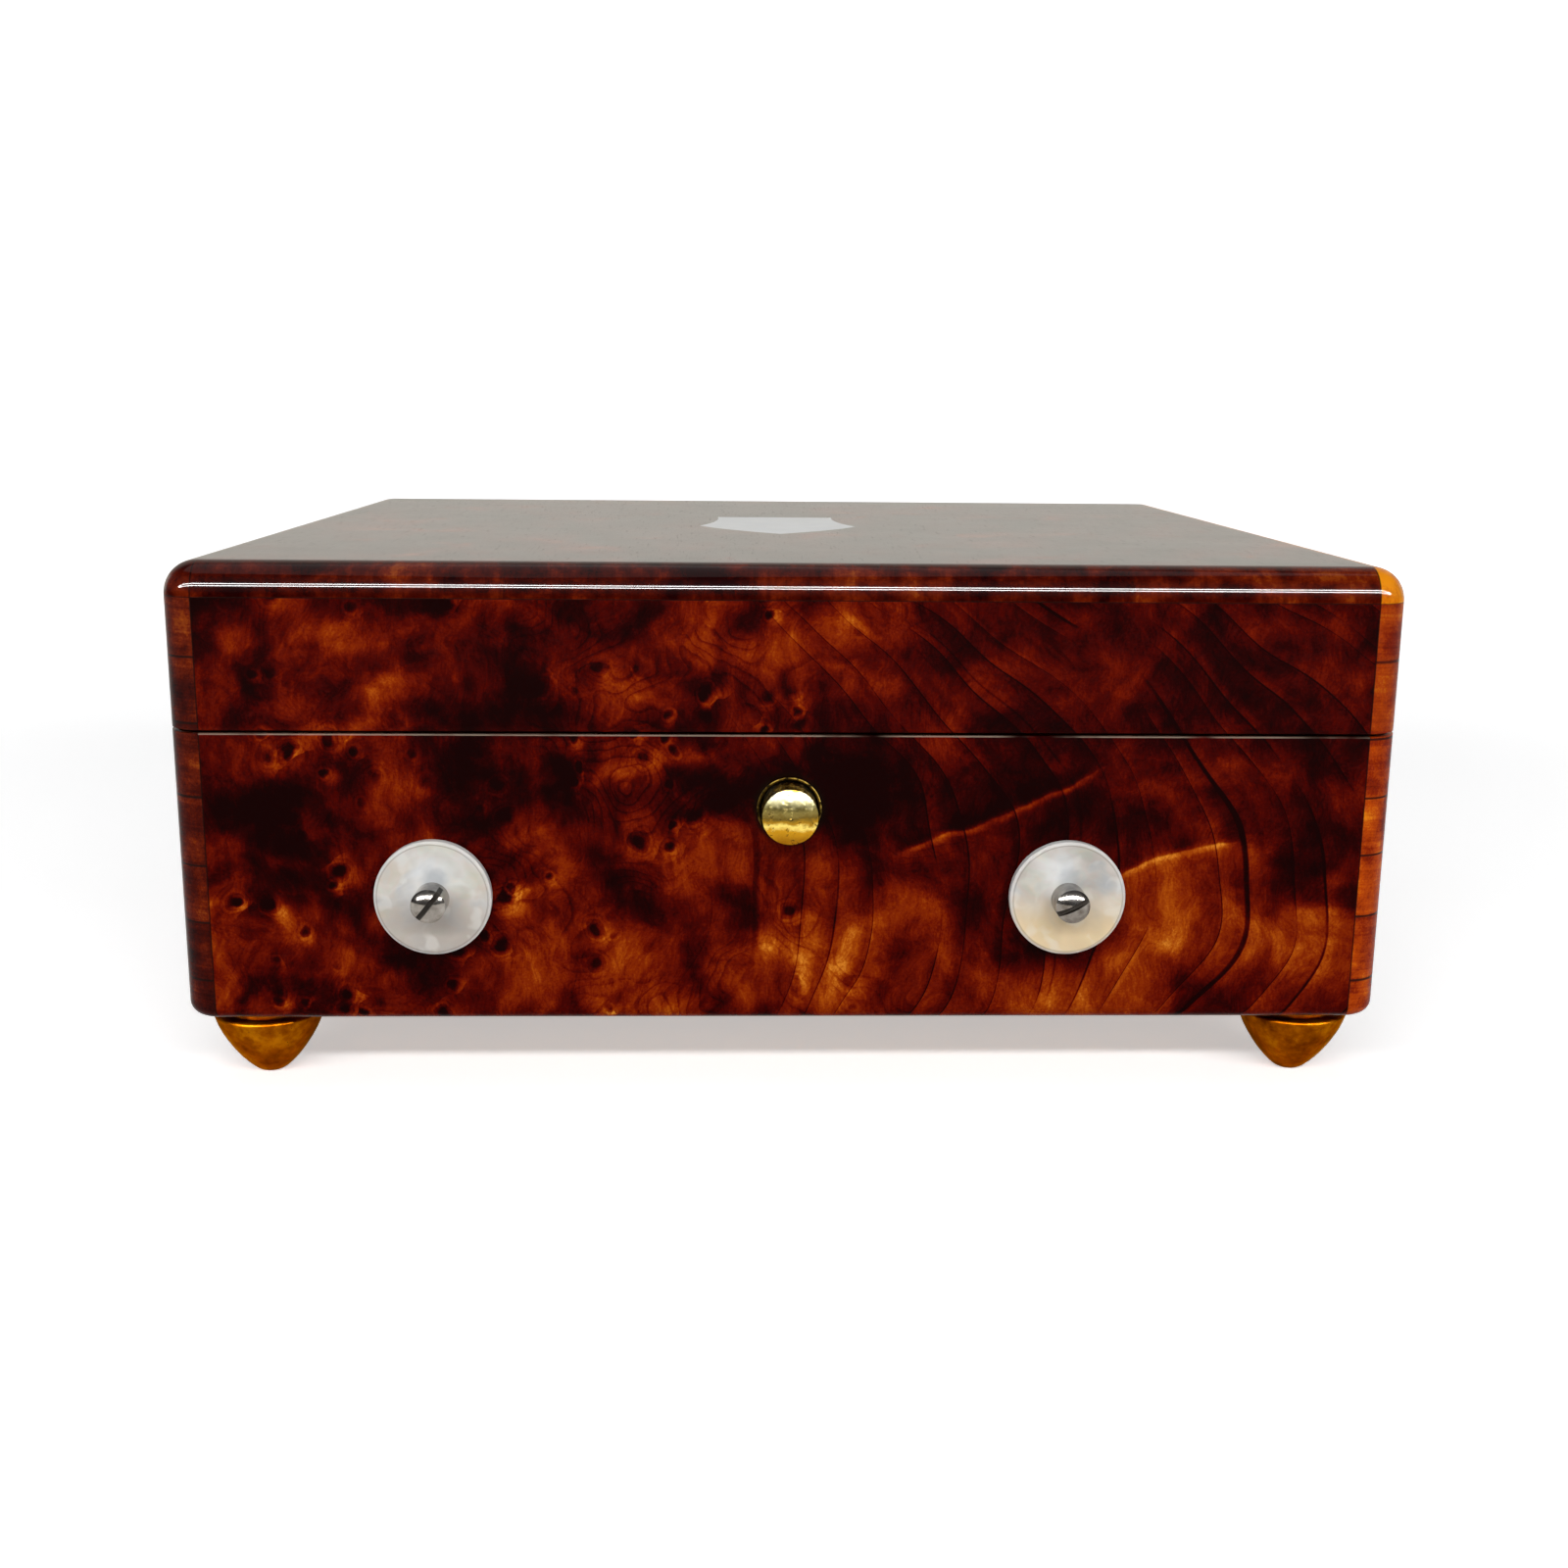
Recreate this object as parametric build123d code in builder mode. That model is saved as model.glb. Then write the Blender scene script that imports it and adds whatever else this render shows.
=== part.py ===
"""Musical box in a burr-veneered case with cross-banded edges.

The case stands on four turned brass feet. A push button in the front wall frees the lid,
and two mother-of-pearl discs in front turn the play and change spindles. Inside, in front
of a partition, a pinned-cylinder movement plays under a glass cover. Behind the partition
is a lined compartment. The mainspring is wound by a wing key under the case.

All sizes are in millimetres. X runs to the right, Y from front to back, Z up.
The origin is on the floor, at the middle of the whole box's outline.
"""

import os
from math import acos, cos, dist, pi, radians, sin, sqrt, tan

from build123d import *

os.makedirs("parts", exist_ok=True)

# Case
CASE_LENGTH = 222.6
CASE_DEPTH = 198.0
BODY_HEIGHT = 53.8
LID_HEIGHT = 29.7
LID_GAP = 0.6
WALL = 8.0
BASE_THICKNESS = 5.0
LID_TOP_THICKNESS = 8.0
CORNER_RADIUS = 6.5
LID_EDGE_RADIUS = 6.0
FOOT_EDGE_RADIUS = 2.5

# Veneer bandings, let in flush with the faces
VENEER = 1.0
CORNER_BAND = 6.2
EDGE_BAND = 6.5
EDGE_BAND_DROP = 6.2
SHIELD_WIDTH = 35.6
SHIELD_LENGTH = 52.0
SHIELD_THICKNESS = 1.2

# Turned feet
FOOT_HEIGHT = 13.8
FOOT_RADIUS = 10.2
FOOT_NECK_RADIUS = 8.2
FOOT_NECK = 1.6
FOOT_RIM = 0.7
FOOT_SOLE_RADIUS = 2.2
FOOT_FULLNESS = 1.3
FOOT_STUD_RADIUS = 2.0
FOOT_STUD_LENGTH = 4.0
FOOT_INSET_X = 12.7
FOOT_INSET_Y = 12.5

# Running and seating clearances
RUNNING = 0.05
SEAT = 0.05
CLEAR = 0.3

# Front fittings
KNOB_HEIGHT = 24.0
DISC_RADIUS = 10.6
DISC_THICKNESS = 2.0
DISC_BEVEL = 0.45
DISC_HOLE_RADIUS = 1.25
HEAD_RADIUS = 3.1
HEAD_SIDE = 4.9
HEAD_DOME = 1.3
HEAD_SLOT_WIDTH = 1.0
HEAD_SLOT_DEPTH = 1.5
PLAY_SLOT_ANGLE = 27.0
CHANGE_SLOT_ANGLE = 51.0
KNOB_SCREW_RADIUS = 1.0
KNOB_SCREW_LENGTH = 6.0
SPINDLE_RADIUS = 1.6
SPINDLE_BUSH_RADIUS = 3.2
BUTTON_HEIGHT = 40.2
BUTTON_RADIUS = 5.0
BUTTON_PROUD = 7.5
BUTTON_SKIRT = 3.0
BUTTON_DOME = 1.1
BUTTON_SHANK_RADIUS = 2.5
BUTTON_TRAVEL = 2.5
BUTTON_GAP = 0.45
CATCH_BUSH_RADIUS = 5.9
CATCH_BUSH_WEB = 2.0
CATCH_BUSH_TAIL = 2.4

# Hinges
HINGE_LENGTH = 30.0
HINGE_SPACING = 130.0
HINGE_LEAF_WIDTH = 7.0
HINGE_LEAF = 1.0
KNUCKLE_RADIUS = 2.0
KNUCKLE_GAP = 0.3
HINGE_PIN_RADIUS = 0.8
HINGE_AXIS_OUT = 1.0
LEAF_SCREW_SPACING = 18.0

# Inside of the case
PARTITION_FRONT = 90.0
PARTITION = 4.0
LINING = 1.5
GLASS_LOW = 48.5
GLASS = 2.0
LEDGE_HEIGHT = 3.0
LEDGE_WIDTH = 12.0
LEDGE_LIP = 9.0
BEAD = 3.0
BEAD_HEIGHT = 2.8

# Movement, placed from the front face, the left wall and the underside of the case
BEDPLATE_LOW = 12.0
BEDPLATE = 2.5
BEDPLATE_INSET = 3.3
BEDPLATE_BEYOND_WORM = 20.0
BEDPLATE_FRONT = 21.0
BEDPLATE_BACK = 86.0
PILLAR_RADIUS = 3.5
PILLAR_INSET = 5.0
SCREW_RADIUS = 1.0
SCREW_HEAD_RADIUS = 2.2
SCREW_HEAD = 1.4
ARBOR_DEPTH = 56.0
ARBOR_HEIGHT = 28.0
ARBOR_RADIUS = 1.5
COCK_THICKNESS = 3.0
COCK_FOOT = 2.0
COCK_TOP = 3.6

# Cylinder and comb
CYLINDER_RADIUS = 10.0
CYLINDER_LENGTH = 78.6
CYLINDER_SHELL = 1.2
CYLINDER_CAP = 1.5
CYLINDER_SHIFT = 0.8
PIN_SIZE = 0.4
PIN_HEIGHT = 0.8
PINS_FIRST_TUNE = 3
PINS_SECOND_TUNE = 2
COMB_TEETH = 44
COMB_PITCH = 1.7
COMB_SLOT = 0.5
COMB_THICKNESS = 1.4
COMB_TIP_CLEARANCE = 0.2
COMB_RISE = 0.4
BASS_TOOTH = 12.0
TREBLE_TOOTH = 7.0
COMB_FRONT = 25.5
COMB_BASE_FRONT = 23.5
COMB_BASE_BACK = 32.5
COMB_BASE_END = 0.6
LEADED_TEETH = 12
LEAD_HEIGHT = 1.6
LEAD_LENGTH = 4.0

# Spring barrel and winding
DRUM_INSET = 19.3
DRUM_RADIUS = 16.2
DRUM_WALL = 1.2
DRUM_CLEARANCE = 0.5
CROWN_TEETH = 36
DRIVE_TEETH = 12
CROWN_MODULE = 0.8
CROWN_WIDTH = 3.2
CROWN_COVER = 1.0
SPRING_TURNS = 5
SPRING_STRIP = 0.5
WOUND_STEPS = 20
WINDING_RADIUS = 2.2
WINDING_HUB_RADIUS = 4.0
WINDING_SQUARE = 3.0
RATCHET_TEETH = 20
RATCHET_RADIUS = 6.5
RATCHET_DEPTH = 1.1
RATCHET_LOW = 8.0
RATCHET_THICKNESS = 1.5
KEY_HOLE_RADIUS = 4.0
KEY_SLEEVE_RADIUS = 3.3
KEY_WING_SPAN = 24.0
KEY_WING_THICKNESS = 1.8
KEY_LOW = 10.2

# Wheel train and governor
GREAT_TEETH = 36
PINION_TEETH = 12
TRAIN_MODULE = 0.62
WHEEL_TO_CYLINDER = 6.0
WHEEL_THICKNESS = 2.0
GOVERNOR_ARBOR_RADIUS = 1.2
WORM_WHEEL_TEETH = 24
WORM_MODULE = 0.6
WORM_TO_GREAT_WHEEL = 16.0
BRAKE_TO_WORM = 9.0
WORM_WHEEL_THICKNESS = 1.2
WORM_PITCH_RADIUS = 1.5
WORM_ROOT_RADIUS = 0.95
WORM_TIP_RADIUS = 1.9
WORM_TURNS = 4
WORM_PIVOT_RADIUS = 0.7
FLY_RADIUS = 6.5
FLY_HEIGHT = 5.0
FLY_BLADE = 0.6
COLLAR_RADIUS = 2.0
COLLAR_HEIGHT = 2.2
FINGER_LENGTH = 11.0
FINGER_THICKNESS = 2.4
CAM_TO_DRIVE_PINION = 5.2
CAM_LOW = 5.6
CAM_TURN = 40.0
CAM_THICKNESS = 2.5
CAM_GAP = 0.2

# Places that follow from the sizes above
HEAD_HEIGHT = HEAD_SIDE + HEAD_DOME
FRONT_PROUD = CLEAR + DISC_THICKNESS + HEAD_HEIGHT
REAR_PROUD = HINGE_AXIS_OUT + KNUCKLE_RADIUS
Y_FRONT = -(CASE_DEPTH + FRONT_PROUD + REAR_PROUD) / 2 + FRONT_PROUD
Y_BACK = Y_FRONT + CASE_DEPTH
Y_MIDDLE = (Y_FRONT + Y_BACK) / 2
Z_CASE = FOOT_HEIGHT
Z_RIM = Z_CASE + BODY_HEIGHT
Z_LID = Z_RIM + LID_GAP
Z_TOP = Z_LID + LID_HEIGHT
Z_SPLIT = (Z_RIM + Z_LID) / 2
Z_FLOOR = Z_CASE + BASE_THICKNESS
INNER_LENGTH = CASE_LENGTH - 2 * WALL
HINGE_Y = Y_BACK + HINGE_AXIS_OUT

# The movement from left to right, each place from the one before
BEDPLATE_LEFT = -INNER_LENGTH / 2 + BEDPLATE_INSET
DRUM_X = -INNER_LENGTH / 2 + DRUM_INSET
CROWN_RADIUS = CROWN_TEETH * CROWN_MODULE / 2
DRIVE_RADIUS = DRIVE_TEETH * CROWN_MODULE / 2
DRIVE_X = DRUM_X + CROWN_RADIUS
CHANGE_X = DRIVE_X + CAM_TO_DRIVE_PINION
CYLINDER_LEFT = CHANGE_X + CAM_LOW + CAM_GAP
CYLINDER_RIGHT = CYLINDER_LEFT + CYLINDER_LENGTH
GREAT_WHEEL_X = CYLINDER_RIGHT + WHEEL_TO_CYLINDER
WORM_X = GREAT_WHEEL_X + WORM_TO_GREAT_WHEEL
PLAY_X = WORM_X + BRAKE_TO_WORM
BEDPLATE_RIGHT = WORM_X + BEDPLATE_BEYOND_WORM


def from_front(distance):
    """The Y of a point that lies this far behind the front face."""
    return Y_FRONT + distance


def above_case(height):
    """The Z of a point that lies this far above the underside of the case."""
    return Z_CASE + height


def save(part, name):
    """Labels a finished piece and writes it under its name."""
    part.label = name
    export_step(part, f"parts/{name}.step")
    return part


def block(x_low, x_high, y_low, y_high, z_low, z_high):
    """A plain bar between two corners."""
    with BuildPart() as bar:
        with BuildSketch(Plane.XY.offset(z_low)):
            with Locations(((x_low + x_high) / 2, (y_low + y_high) / 2)):
                Rectangle(x_high - x_low, y_high - y_low)
        extrude(amount=z_high - z_low)
    return bar.part


def rod(plane, radius, length, bore=0.0):
    """A round bar, or a tube, that starts on a plane and runs along its normal."""
    with BuildPart() as bar:
        with BuildSketch(plane):
            Circle(radius)
            if bore:
                Circle(bore, mode=Mode.SUBTRACT)
        extrude(amount=length)
    return bar.part


def joined(pieces):
    """Several solids that touch or overlap, as one piece."""
    with BuildPart() as whole:
        for piece in pieces:
            add(piece)
    return whole.part


def without(part, cutters):
    """A piece with other shapes taken out of it."""
    with BuildPart() as rest:
        add(part)
        for cutter in cutters:
            add(cutter, mode=Mode.SUBTRACT)
    return rest.part


def least_gap(points, thickness, apart):
    """The smallest free space between two stretches of a wound piece, this many points apart or more."""
    gaps = []
    for number, point in enumerate(points):
        for other in points[number + apart:]:
            gaps.append(dist(point, other) - thickness)
    return min(gaps)


# Case shells


def case_shell(z_low, z_high, inset, rounded_top, edge_radius):
    """The outer form of the body or the lid, drawn in by an inset on every face but the open one."""
    with BuildPart() as shell:
        low = z_low if rounded_top else z_low + inset
        high = z_high - inset if rounded_top else z_high
        with BuildSketch(Plane((0, Y_MIDDLE, low))):
            RectangleRounded(
                CASE_LENGTH - 2 * inset, CASE_DEPTH - 2 * inset, CORNER_RADIUS - inset
            )
        extrude(amount=high - low)
        ends = shell.faces().sort_by(Axis.Z)
        end = ends[-1] if rounded_top else ends[0]
        fillet(end.edges(), edge_radius - inset)
    return shell.part


def wall_outline(side):
    """The four corners, in plan, of a mitred wall. Side is front, back, left or right."""
    outer_x = CASE_LENGTH / 2
    outer_y = CASE_DEPTH / 2
    inner_x = outer_x - WALL
    inner_y = outer_y - WALL
    long_side = [(-outer_x, -outer_y), (outer_x, -outer_y), (inner_x, -inner_y), (-inner_x, -inner_y)]
    short_side = [(-outer_x, outer_y), (-outer_x, -outer_y), (-inner_x, -inner_y), (-inner_x, inner_y)]
    if side == "front":
        return long_side
    if side == "back":
        return [(-x, -y) for x, y in long_side]
    if side == "left":
        return short_side
    return [(-x, -y) for x, y in short_side]


def mitred_wall(shell, side, z_low, z_high, cutters):
    """One wall of a shell, mitred at both ends, with its rebates and holes."""
    with BuildPart() as wall:
        add(shell)
        with BuildSketch(Plane((0, Y_MIDDLE, z_low))):
            with BuildLine():
                Polyline(*wall_outline(side), close=True)
            make_face()
        extrude(amount=z_high - z_low, mode=Mode.INTERSECT)
        for cutter in cutters:
            add(cutter, mode=Mode.SUBTRACT)
    return wall.part


def corner_bandings(outer, inner, z_low, z_high):
    """Four strips of veneer that wrap the upright corners."""
    with BuildPart() as strips:
        add(outer)
        add(inner, mode=Mode.SUBTRACT)
        offset_x = (CASE_LENGTH - CORNER_BAND) / 2
        offset_y = (CASE_DEPTH - CORNER_BAND) / 2
        with BuildSketch(Plane((0, Y_MIDDLE, z_low))):
            with GridLocations(2 * offset_x, 2 * offset_y, 2, 2):
                Rectangle(CORNER_BAND, CORNER_BAND)
        extrude(amount=z_high - z_low, mode=Mode.INTERSECT)
    return strips.part


def edge_bandings(outer, inner):
    """A frame of veneer strips over the rounded top edges."""
    with BuildPart() as strips:
        add(outer)
        add(inner, mode=Mode.SUBTRACT)
        with BuildSketch(Plane((0, Y_MIDDLE, Z_TOP - EDGE_BAND_DROP))):
            Rectangle(CASE_LENGTH, CASE_DEPTH)
            Rectangle(CASE_LENGTH - 2 * EDGE_BAND, CASE_DEPTH - 2 * EDGE_BAND, mode=Mode.SUBTRACT)
        extrude(amount=EDGE_BAND_DROP, mode=Mode.INTERSECT)
    return strips.part


def shield_outline():
    """The cartouche let into the lid, with its point to the front."""
    half = SHIELD_WIDTH / 2
    rear = SHIELD_LENGTH / 2
    shoulder = half * 0.78
    ear = -rear * 0.14
    with BuildLine() as line:
        Line((-shoulder, rear), (shoulder, rear))
        ThreePointArc((shoulder, rear), (half * 0.82, rear * 0.36), (half, ear))
        ThreePointArc((half, ear), (half * 0.54, -rear * 0.63), (0, -rear))
        ThreePointArc((0, -rear), (-half * 0.54, -rear * 0.63), (-half, ear))
        ThreePointArc((-half, ear), (-half * 0.82, rear * 0.36), (-shoulder, rear))
    return line.line


def shield(z_low, z_high):
    """The mother-of-pearl shield, or the recess that holds it."""
    with BuildPart() as plate:
        with BuildSketch(Plane((0, Y_MIDDLE, z_low))):
            with BuildLine():
                add(shield_outline())
            make_face()
        extrude(amount=z_high - z_low)
    return plate.part


# Front fittings


def control_hole(x):
    """The hole in the front wall for the bush of a control spindle."""
    plane = Plane(origin=(x, Y_FRONT, above_case(KNOB_HEIGHT)), z_dir=(0, 1, 0))
    return rod(plane, SPINDLE_BUSH_RADIUS, WALL)


def control_bush(x):
    """A brass bush that lines the wall round a control spindle."""
    plane = Plane(origin=(x, Y_FRONT, above_case(KNOB_HEIGHT)), z_dir=(0, 1, 0))
    return rod(plane, SPINDLE_BUSH_RADIUS - SEAT, WALL, SPINDLE_RADIUS + RUNNING)


def control_disc(x):
    """A turned mother-of-pearl disc with a bevelled rim and a hole for its screw."""
    with BuildPart() as disc:
        with BuildSketch(Plane(origin=(x, Y_FRONT - CLEAR, above_case(KNOB_HEIGHT)), z_dir=(0, -1, 0))):
            Circle(DISC_RADIUS)
            Circle(DISC_HOLE_RADIUS, mode=Mode.SUBTRACT)
        extrude(amount=DISC_THICKNESS)
        rim = disc.faces().sort_by(Axis.Y)[0].edges().sort_by(SortBy.RADIUS)[-1]
        chamfer(rim, DISC_BEVEL)
    return disc.part


def dome_middle(radius, rise):
    """A point half way out on a dome: its radius, and how far it lies below the dome's top."""
    sphere = (radius**2 + rise**2) / (2 * rise)
    middle = radius / 2
    return middle, sphere - sqrt(sphere**2 - middle**2)


def control_screw(x, slot_angle):
    """A tall slotted screw with a domed head, which clamps a disc to its spindle."""
    seat = Y_FRONT - CLEAR - DISC_THICKNESS
    height = above_case(KNOB_HEIGHT)
    middle_radius, drop = dome_middle(HEAD_RADIUS, HEAD_DOME)
    middle = HEAD_HEIGHT - drop
    with BuildPart() as screw:
        with BuildSketch(Plane(origin=(x, seat, height), x_dir=(1, 0, 0), z_dir=(0, 0, 1))):
            with BuildLine():
                Polyline(
                    (0, -HEAD_HEIGHT),
                    (0, DISC_THICKNESS + KNOB_SCREW_LENGTH),
                    (KNOB_SCREW_RADIUS, DISC_THICKNESS + KNOB_SCREW_LENGTH),
                    (KNOB_SCREW_RADIUS, 0),
                    (HEAD_RADIUS, 0),
                    (HEAD_RADIUS, -HEAD_SIDE),
                )
                ThreePointArc((HEAD_RADIUS, -HEAD_SIDE), (middle_radius, -middle), (0, -HEAD_HEIGHT))
            make_face()
        revolve(axis=Axis((x, seat, height), (0, 1, 0)))
        slot_plane = Plane(origin=(x, seat - HEAD_HEIGHT, height), x_dir=(1, 0, 0), z_dir=(0, 1, 0))
        with BuildSketch(slot_plane):
            Rectangle(3 * HEAD_RADIUS, HEAD_SLOT_WIDTH, rotation=-slot_angle)
        extrude(amount=HEAD_SLOT_DEPTH, mode=Mode.SUBTRACT)
    return screw.part


def control_spindle(x, reach):
    """A steel spindle with a tapped front end, which runs back to its arm."""
    front = Y_FRONT - CLEAR
    height = above_case(KNOB_HEIGHT)
    plane = Plane(origin=(x, front, height), z_dir=(0, 1, 0))
    shaft = rod(plane, SPINDLE_RADIUS, from_front(reach) - front)
    return without(shaft, [rod(plane, KNOB_SCREW_RADIUS + SEAT, KNOB_SCREW_LENGTH + CLEAR)])


# Fasteners and small turned parts


def cheese_screw(x, y, z, length, head_radius=SCREW_HEAD_RADIUS, head=SCREW_HEAD):
    """An upright slotted screw whose head sits on z and whose shank goes down."""
    with BuildPart() as screw:
        with BuildSketch(Plane((x, y, z))):
            Circle(head_radius)
        extrude(amount=head)
        with BuildSketch(Plane((x, y, z + head))):
            Rectangle(3 * head_radius, head_radius * 0.3, rotation=40)
        extrude(amount=-head * 0.5, mode=Mode.SUBTRACT)
        with BuildSketch(Plane((x, y, z))):
            Circle(SCREW_RADIUS)
        extrude(amount=-length)
    return screw.part


def screw_hole(x, y, z, length):
    """The hole that a screw's shank takes, with its seating clearance."""
    return rod(Plane((x, y, z - length - SEAT)), SCREW_RADIUS + SEAT, length + 2 * SEAT)


# Toothed wheels


def involute(angle):
    """The polar angle of an involute where its pressure angle has this value."""
    return tan(angle) - angle


def tooth_outline(teeth, module, phase, thickness, addendum=0.9, dedendum=1.25):
    """Corner points of a spur wheel, with a root, a pitch and a tip point on each flank."""
    pitch_radius = teeth * module / 2
    pressure = radians(20)
    base_radius = pitch_radius * cos(pressure)
    half = pi / (2 * teeth) * thickness + involute(pressure)
    tip_radius = pitch_radius + addendum * module
    flank = [(pitch_radius - dedendum * module, half * 1.08)]
    for radius in (pitch_radius, tip_radius):
        flank.append((radius, half - involute(acos(base_radius / radius))))
    points = []
    for tooth in range(teeth):
        middle = phase + 2 * pi * tooth / teeth
        for radius, angle in flank:
            points.append((radius * cos(middle - angle), radius * sin(middle - angle)))
        for radius, angle in reversed(flank):
            points.append((radius * cos(middle + angle), radius * sin(middle + angle)))
    return points


def spur_wheel(x, y, z, teeth, module, width, phase, bore=0.0, thickness=0.84):
    """A toothed wheel on an axis along X, with a tooth thickness given as a share of the half pitch."""
    with BuildPart() as wheel:
        with BuildSketch(Plane(origin=(x, y, z), x_dir=(0, 1, 0), z_dir=(1, 0, 0))):
            with BuildLine():
                Polyline(*tooth_outline(teeth, module, phase, thickness), close=True)
            make_face()
            if bore:
                Circle(bore, mode=Mode.SUBTRACT)
        extrude(amount=width)
    return wheel.part


# Build the case

body_outer = case_shell(Z_CASE, Z_RIM, 0, False, FOOT_EDGE_RADIUS)
body_inner = case_shell(Z_CASE, Z_RIM, VENEER, False, FOOT_EDGE_RADIUS)
lid_outer = case_shell(Z_LID, Z_TOP, 0, True, LID_EDGE_RADIUS)
lid_inner = case_shell(Z_LID, Z_TOP, VENEER, True, LID_EDGE_RADIUS)

body_bands = save(corner_bandings(body_outer, body_inner, Z_CASE, Z_RIM), "body_corner_bandings")
lid_bands = save(
    corner_bandings(lid_outer, lid_inner, Z_LID, Z_TOP - EDGE_BAND_DROP), "lid_corner_bandings"
)
edge_bands = save(edge_bandings(lid_outer, lid_inner), "lid_edge_bandings")


# Hinges


def hinge_knuckles(middle_x, middle_knuckle):
    """The rolled ends of a leaf: the middle one of the lid's leaf, or the two outer ones."""
    third = HINGE_LENGTH / 3
    if middle_knuckle:
        starts = [middle_x - third / 2 + KNUCKLE_GAP / 2]
        length = third - KNUCKLE_GAP
    else:
        starts = [middle_x - HINGE_LENGTH / 2, middle_x + third / 2 + KNUCKLE_GAP / 2]
        length = third - KNUCKLE_GAP / 2
    tubes = []
    for start in starts:
        plane = Plane(origin=(start, HINGE_Y, Z_SPLIT), z_dir=(1, 0, 0))
        tubes.append((start, length, rod(plane, KNUCKLE_RADIUS, length)))
    return tubes


def leaf_screw_places(middle_x):
    """Where the two screws of a leaf stand, in plan."""
    y = Y_BACK - HINGE_LEAF_WIDTH / 2 - KNUCKLE_RADIUS / 2
    return [(middle_x + side * LEAF_SCREW_SPACING / 2, y) for side in (-1, 1)]


def leaf_plate_edges(upper):
    """The lowest and highest Z of a leaf's plate."""
    if upper:
        return Z_LID, Z_LID + HINGE_LEAF
    return Z_RIM - HINGE_LEAF, Z_RIM


def hinge_leaf(middle_x, upper):
    """A brass leaf with its knuckles, let into the wood. The lower one also holds the pin."""
    z_low, z_high = leaf_plate_edges(upper)
    plate_back = HINGE_Y - KNUCKLE_RADIUS - CLEAR
    pieces = [
        block(
            middle_x - HINGE_LENGTH / 2,
            middle_x + HINGE_LENGTH / 2,
            Y_BACK - HINGE_LEAF_WIDTH,
            plate_back,
            z_low,
            z_high,
        )
    ]
    for start, length, tube in hinge_knuckles(middle_x, upper):
        pieces.append(tube)
        pieces.append(block(start, start + length, plate_back - CLEAR, HINGE_Y, z_low, z_high))
    pin_plane = Plane(origin=(middle_x - HINGE_LENGTH / 2, HINGE_Y, Z_SPLIT), z_dir=(1, 0, 0))
    cutters = []
    if upper:
        cutters.append(rod(pin_plane, HINGE_PIN_RADIUS + RUNNING, HINGE_LENGTH))
    else:
        pieces.append(rod(pin_plane, HINGE_PIN_RADIUS, HINGE_LENGTH))
    for x, y in leaf_screw_places(middle_x):
        cutters.append(screw_hole(x, y, z_high, HINGE_LEAF))
    return without(joined(pieces), cutters)


def hinge_mortise(middle_x, upper):
    """The recess in a wall for a leaf, its knuckles and its screws."""
    z_low, z_high = leaf_plate_edges(upper)
    half = HINGE_LENGTH / 2 + CLEAR
    recess = block(
        middle_x - half,
        middle_x + half,
        Y_BACK - HINGE_LEAF_WIDTH - SEAT,
        Y_BACK + CLEAR,
        z_low - SEAT,
        z_high + SEAT,
    )
    barrel_plane = Plane(origin=(middle_x - half, HINGE_Y, Z_SPLIT), z_dir=(1, 0, 0))
    barrel = rod(barrel_plane, KNUCKLE_RADIUS + CLEAR, 2 * half)
    return joined([recess, barrel])


def leaf_screw(x, y, upper):
    """A small flat-headed wood screw through a leaf."""
    with BuildPart() as screw:
        z_low, z_high = leaf_plate_edges(upper)
        base = z_low if upper else z_high
        reach = 5.0 if upper else -5.0
        with BuildSketch(Plane((x, y, base))):
            Circle(SCREW_RADIUS)
        extrude(amount=reach)
    return screw.part


def leaf_screw_hole(x, y, upper):
    """The pilot hole of a leaf screw."""
    z_low, z_high = leaf_plate_edges(upper)
    if upper:
        return rod(Plane((x, y, z_low)), SCREW_RADIUS + SEAT, 5.0 + SEAT)
    return rod(Plane((x, y, z_high - 5.0 - SEAT)), SCREW_RADIUS + SEAT, 5.0 + SEAT)


hinge_places = [-HINGE_SPACING / 2, HINGE_SPACING / 2]
save(joined([hinge_leaf(x, False) for x in hinge_places]), "hinge_lower_leaves")
save(joined([hinge_leaf(x, True) for x in hinge_places]), "hinge_upper_leaves")
for upper, name in ((False, "hinge_lower_screws"), (True, "hinge_upper_screws")):
    screws = []
    for middle in hinge_places:
        for x, y in leaf_screw_places(middle):
            screws.append(leaf_screw(x, y, upper))
    save(joined(screws), name)


def hinge_cutters(upper):
    """What the hinges take out of a back wall."""
    cutters = []
    for middle in hinge_places:
        cutters.append(hinge_mortise(middle, upper))
        for x, y in leaf_screw_places(middle):
            cutters.append(leaf_screw_hole(x, y, upper))
    return cutters


# Feet


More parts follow.
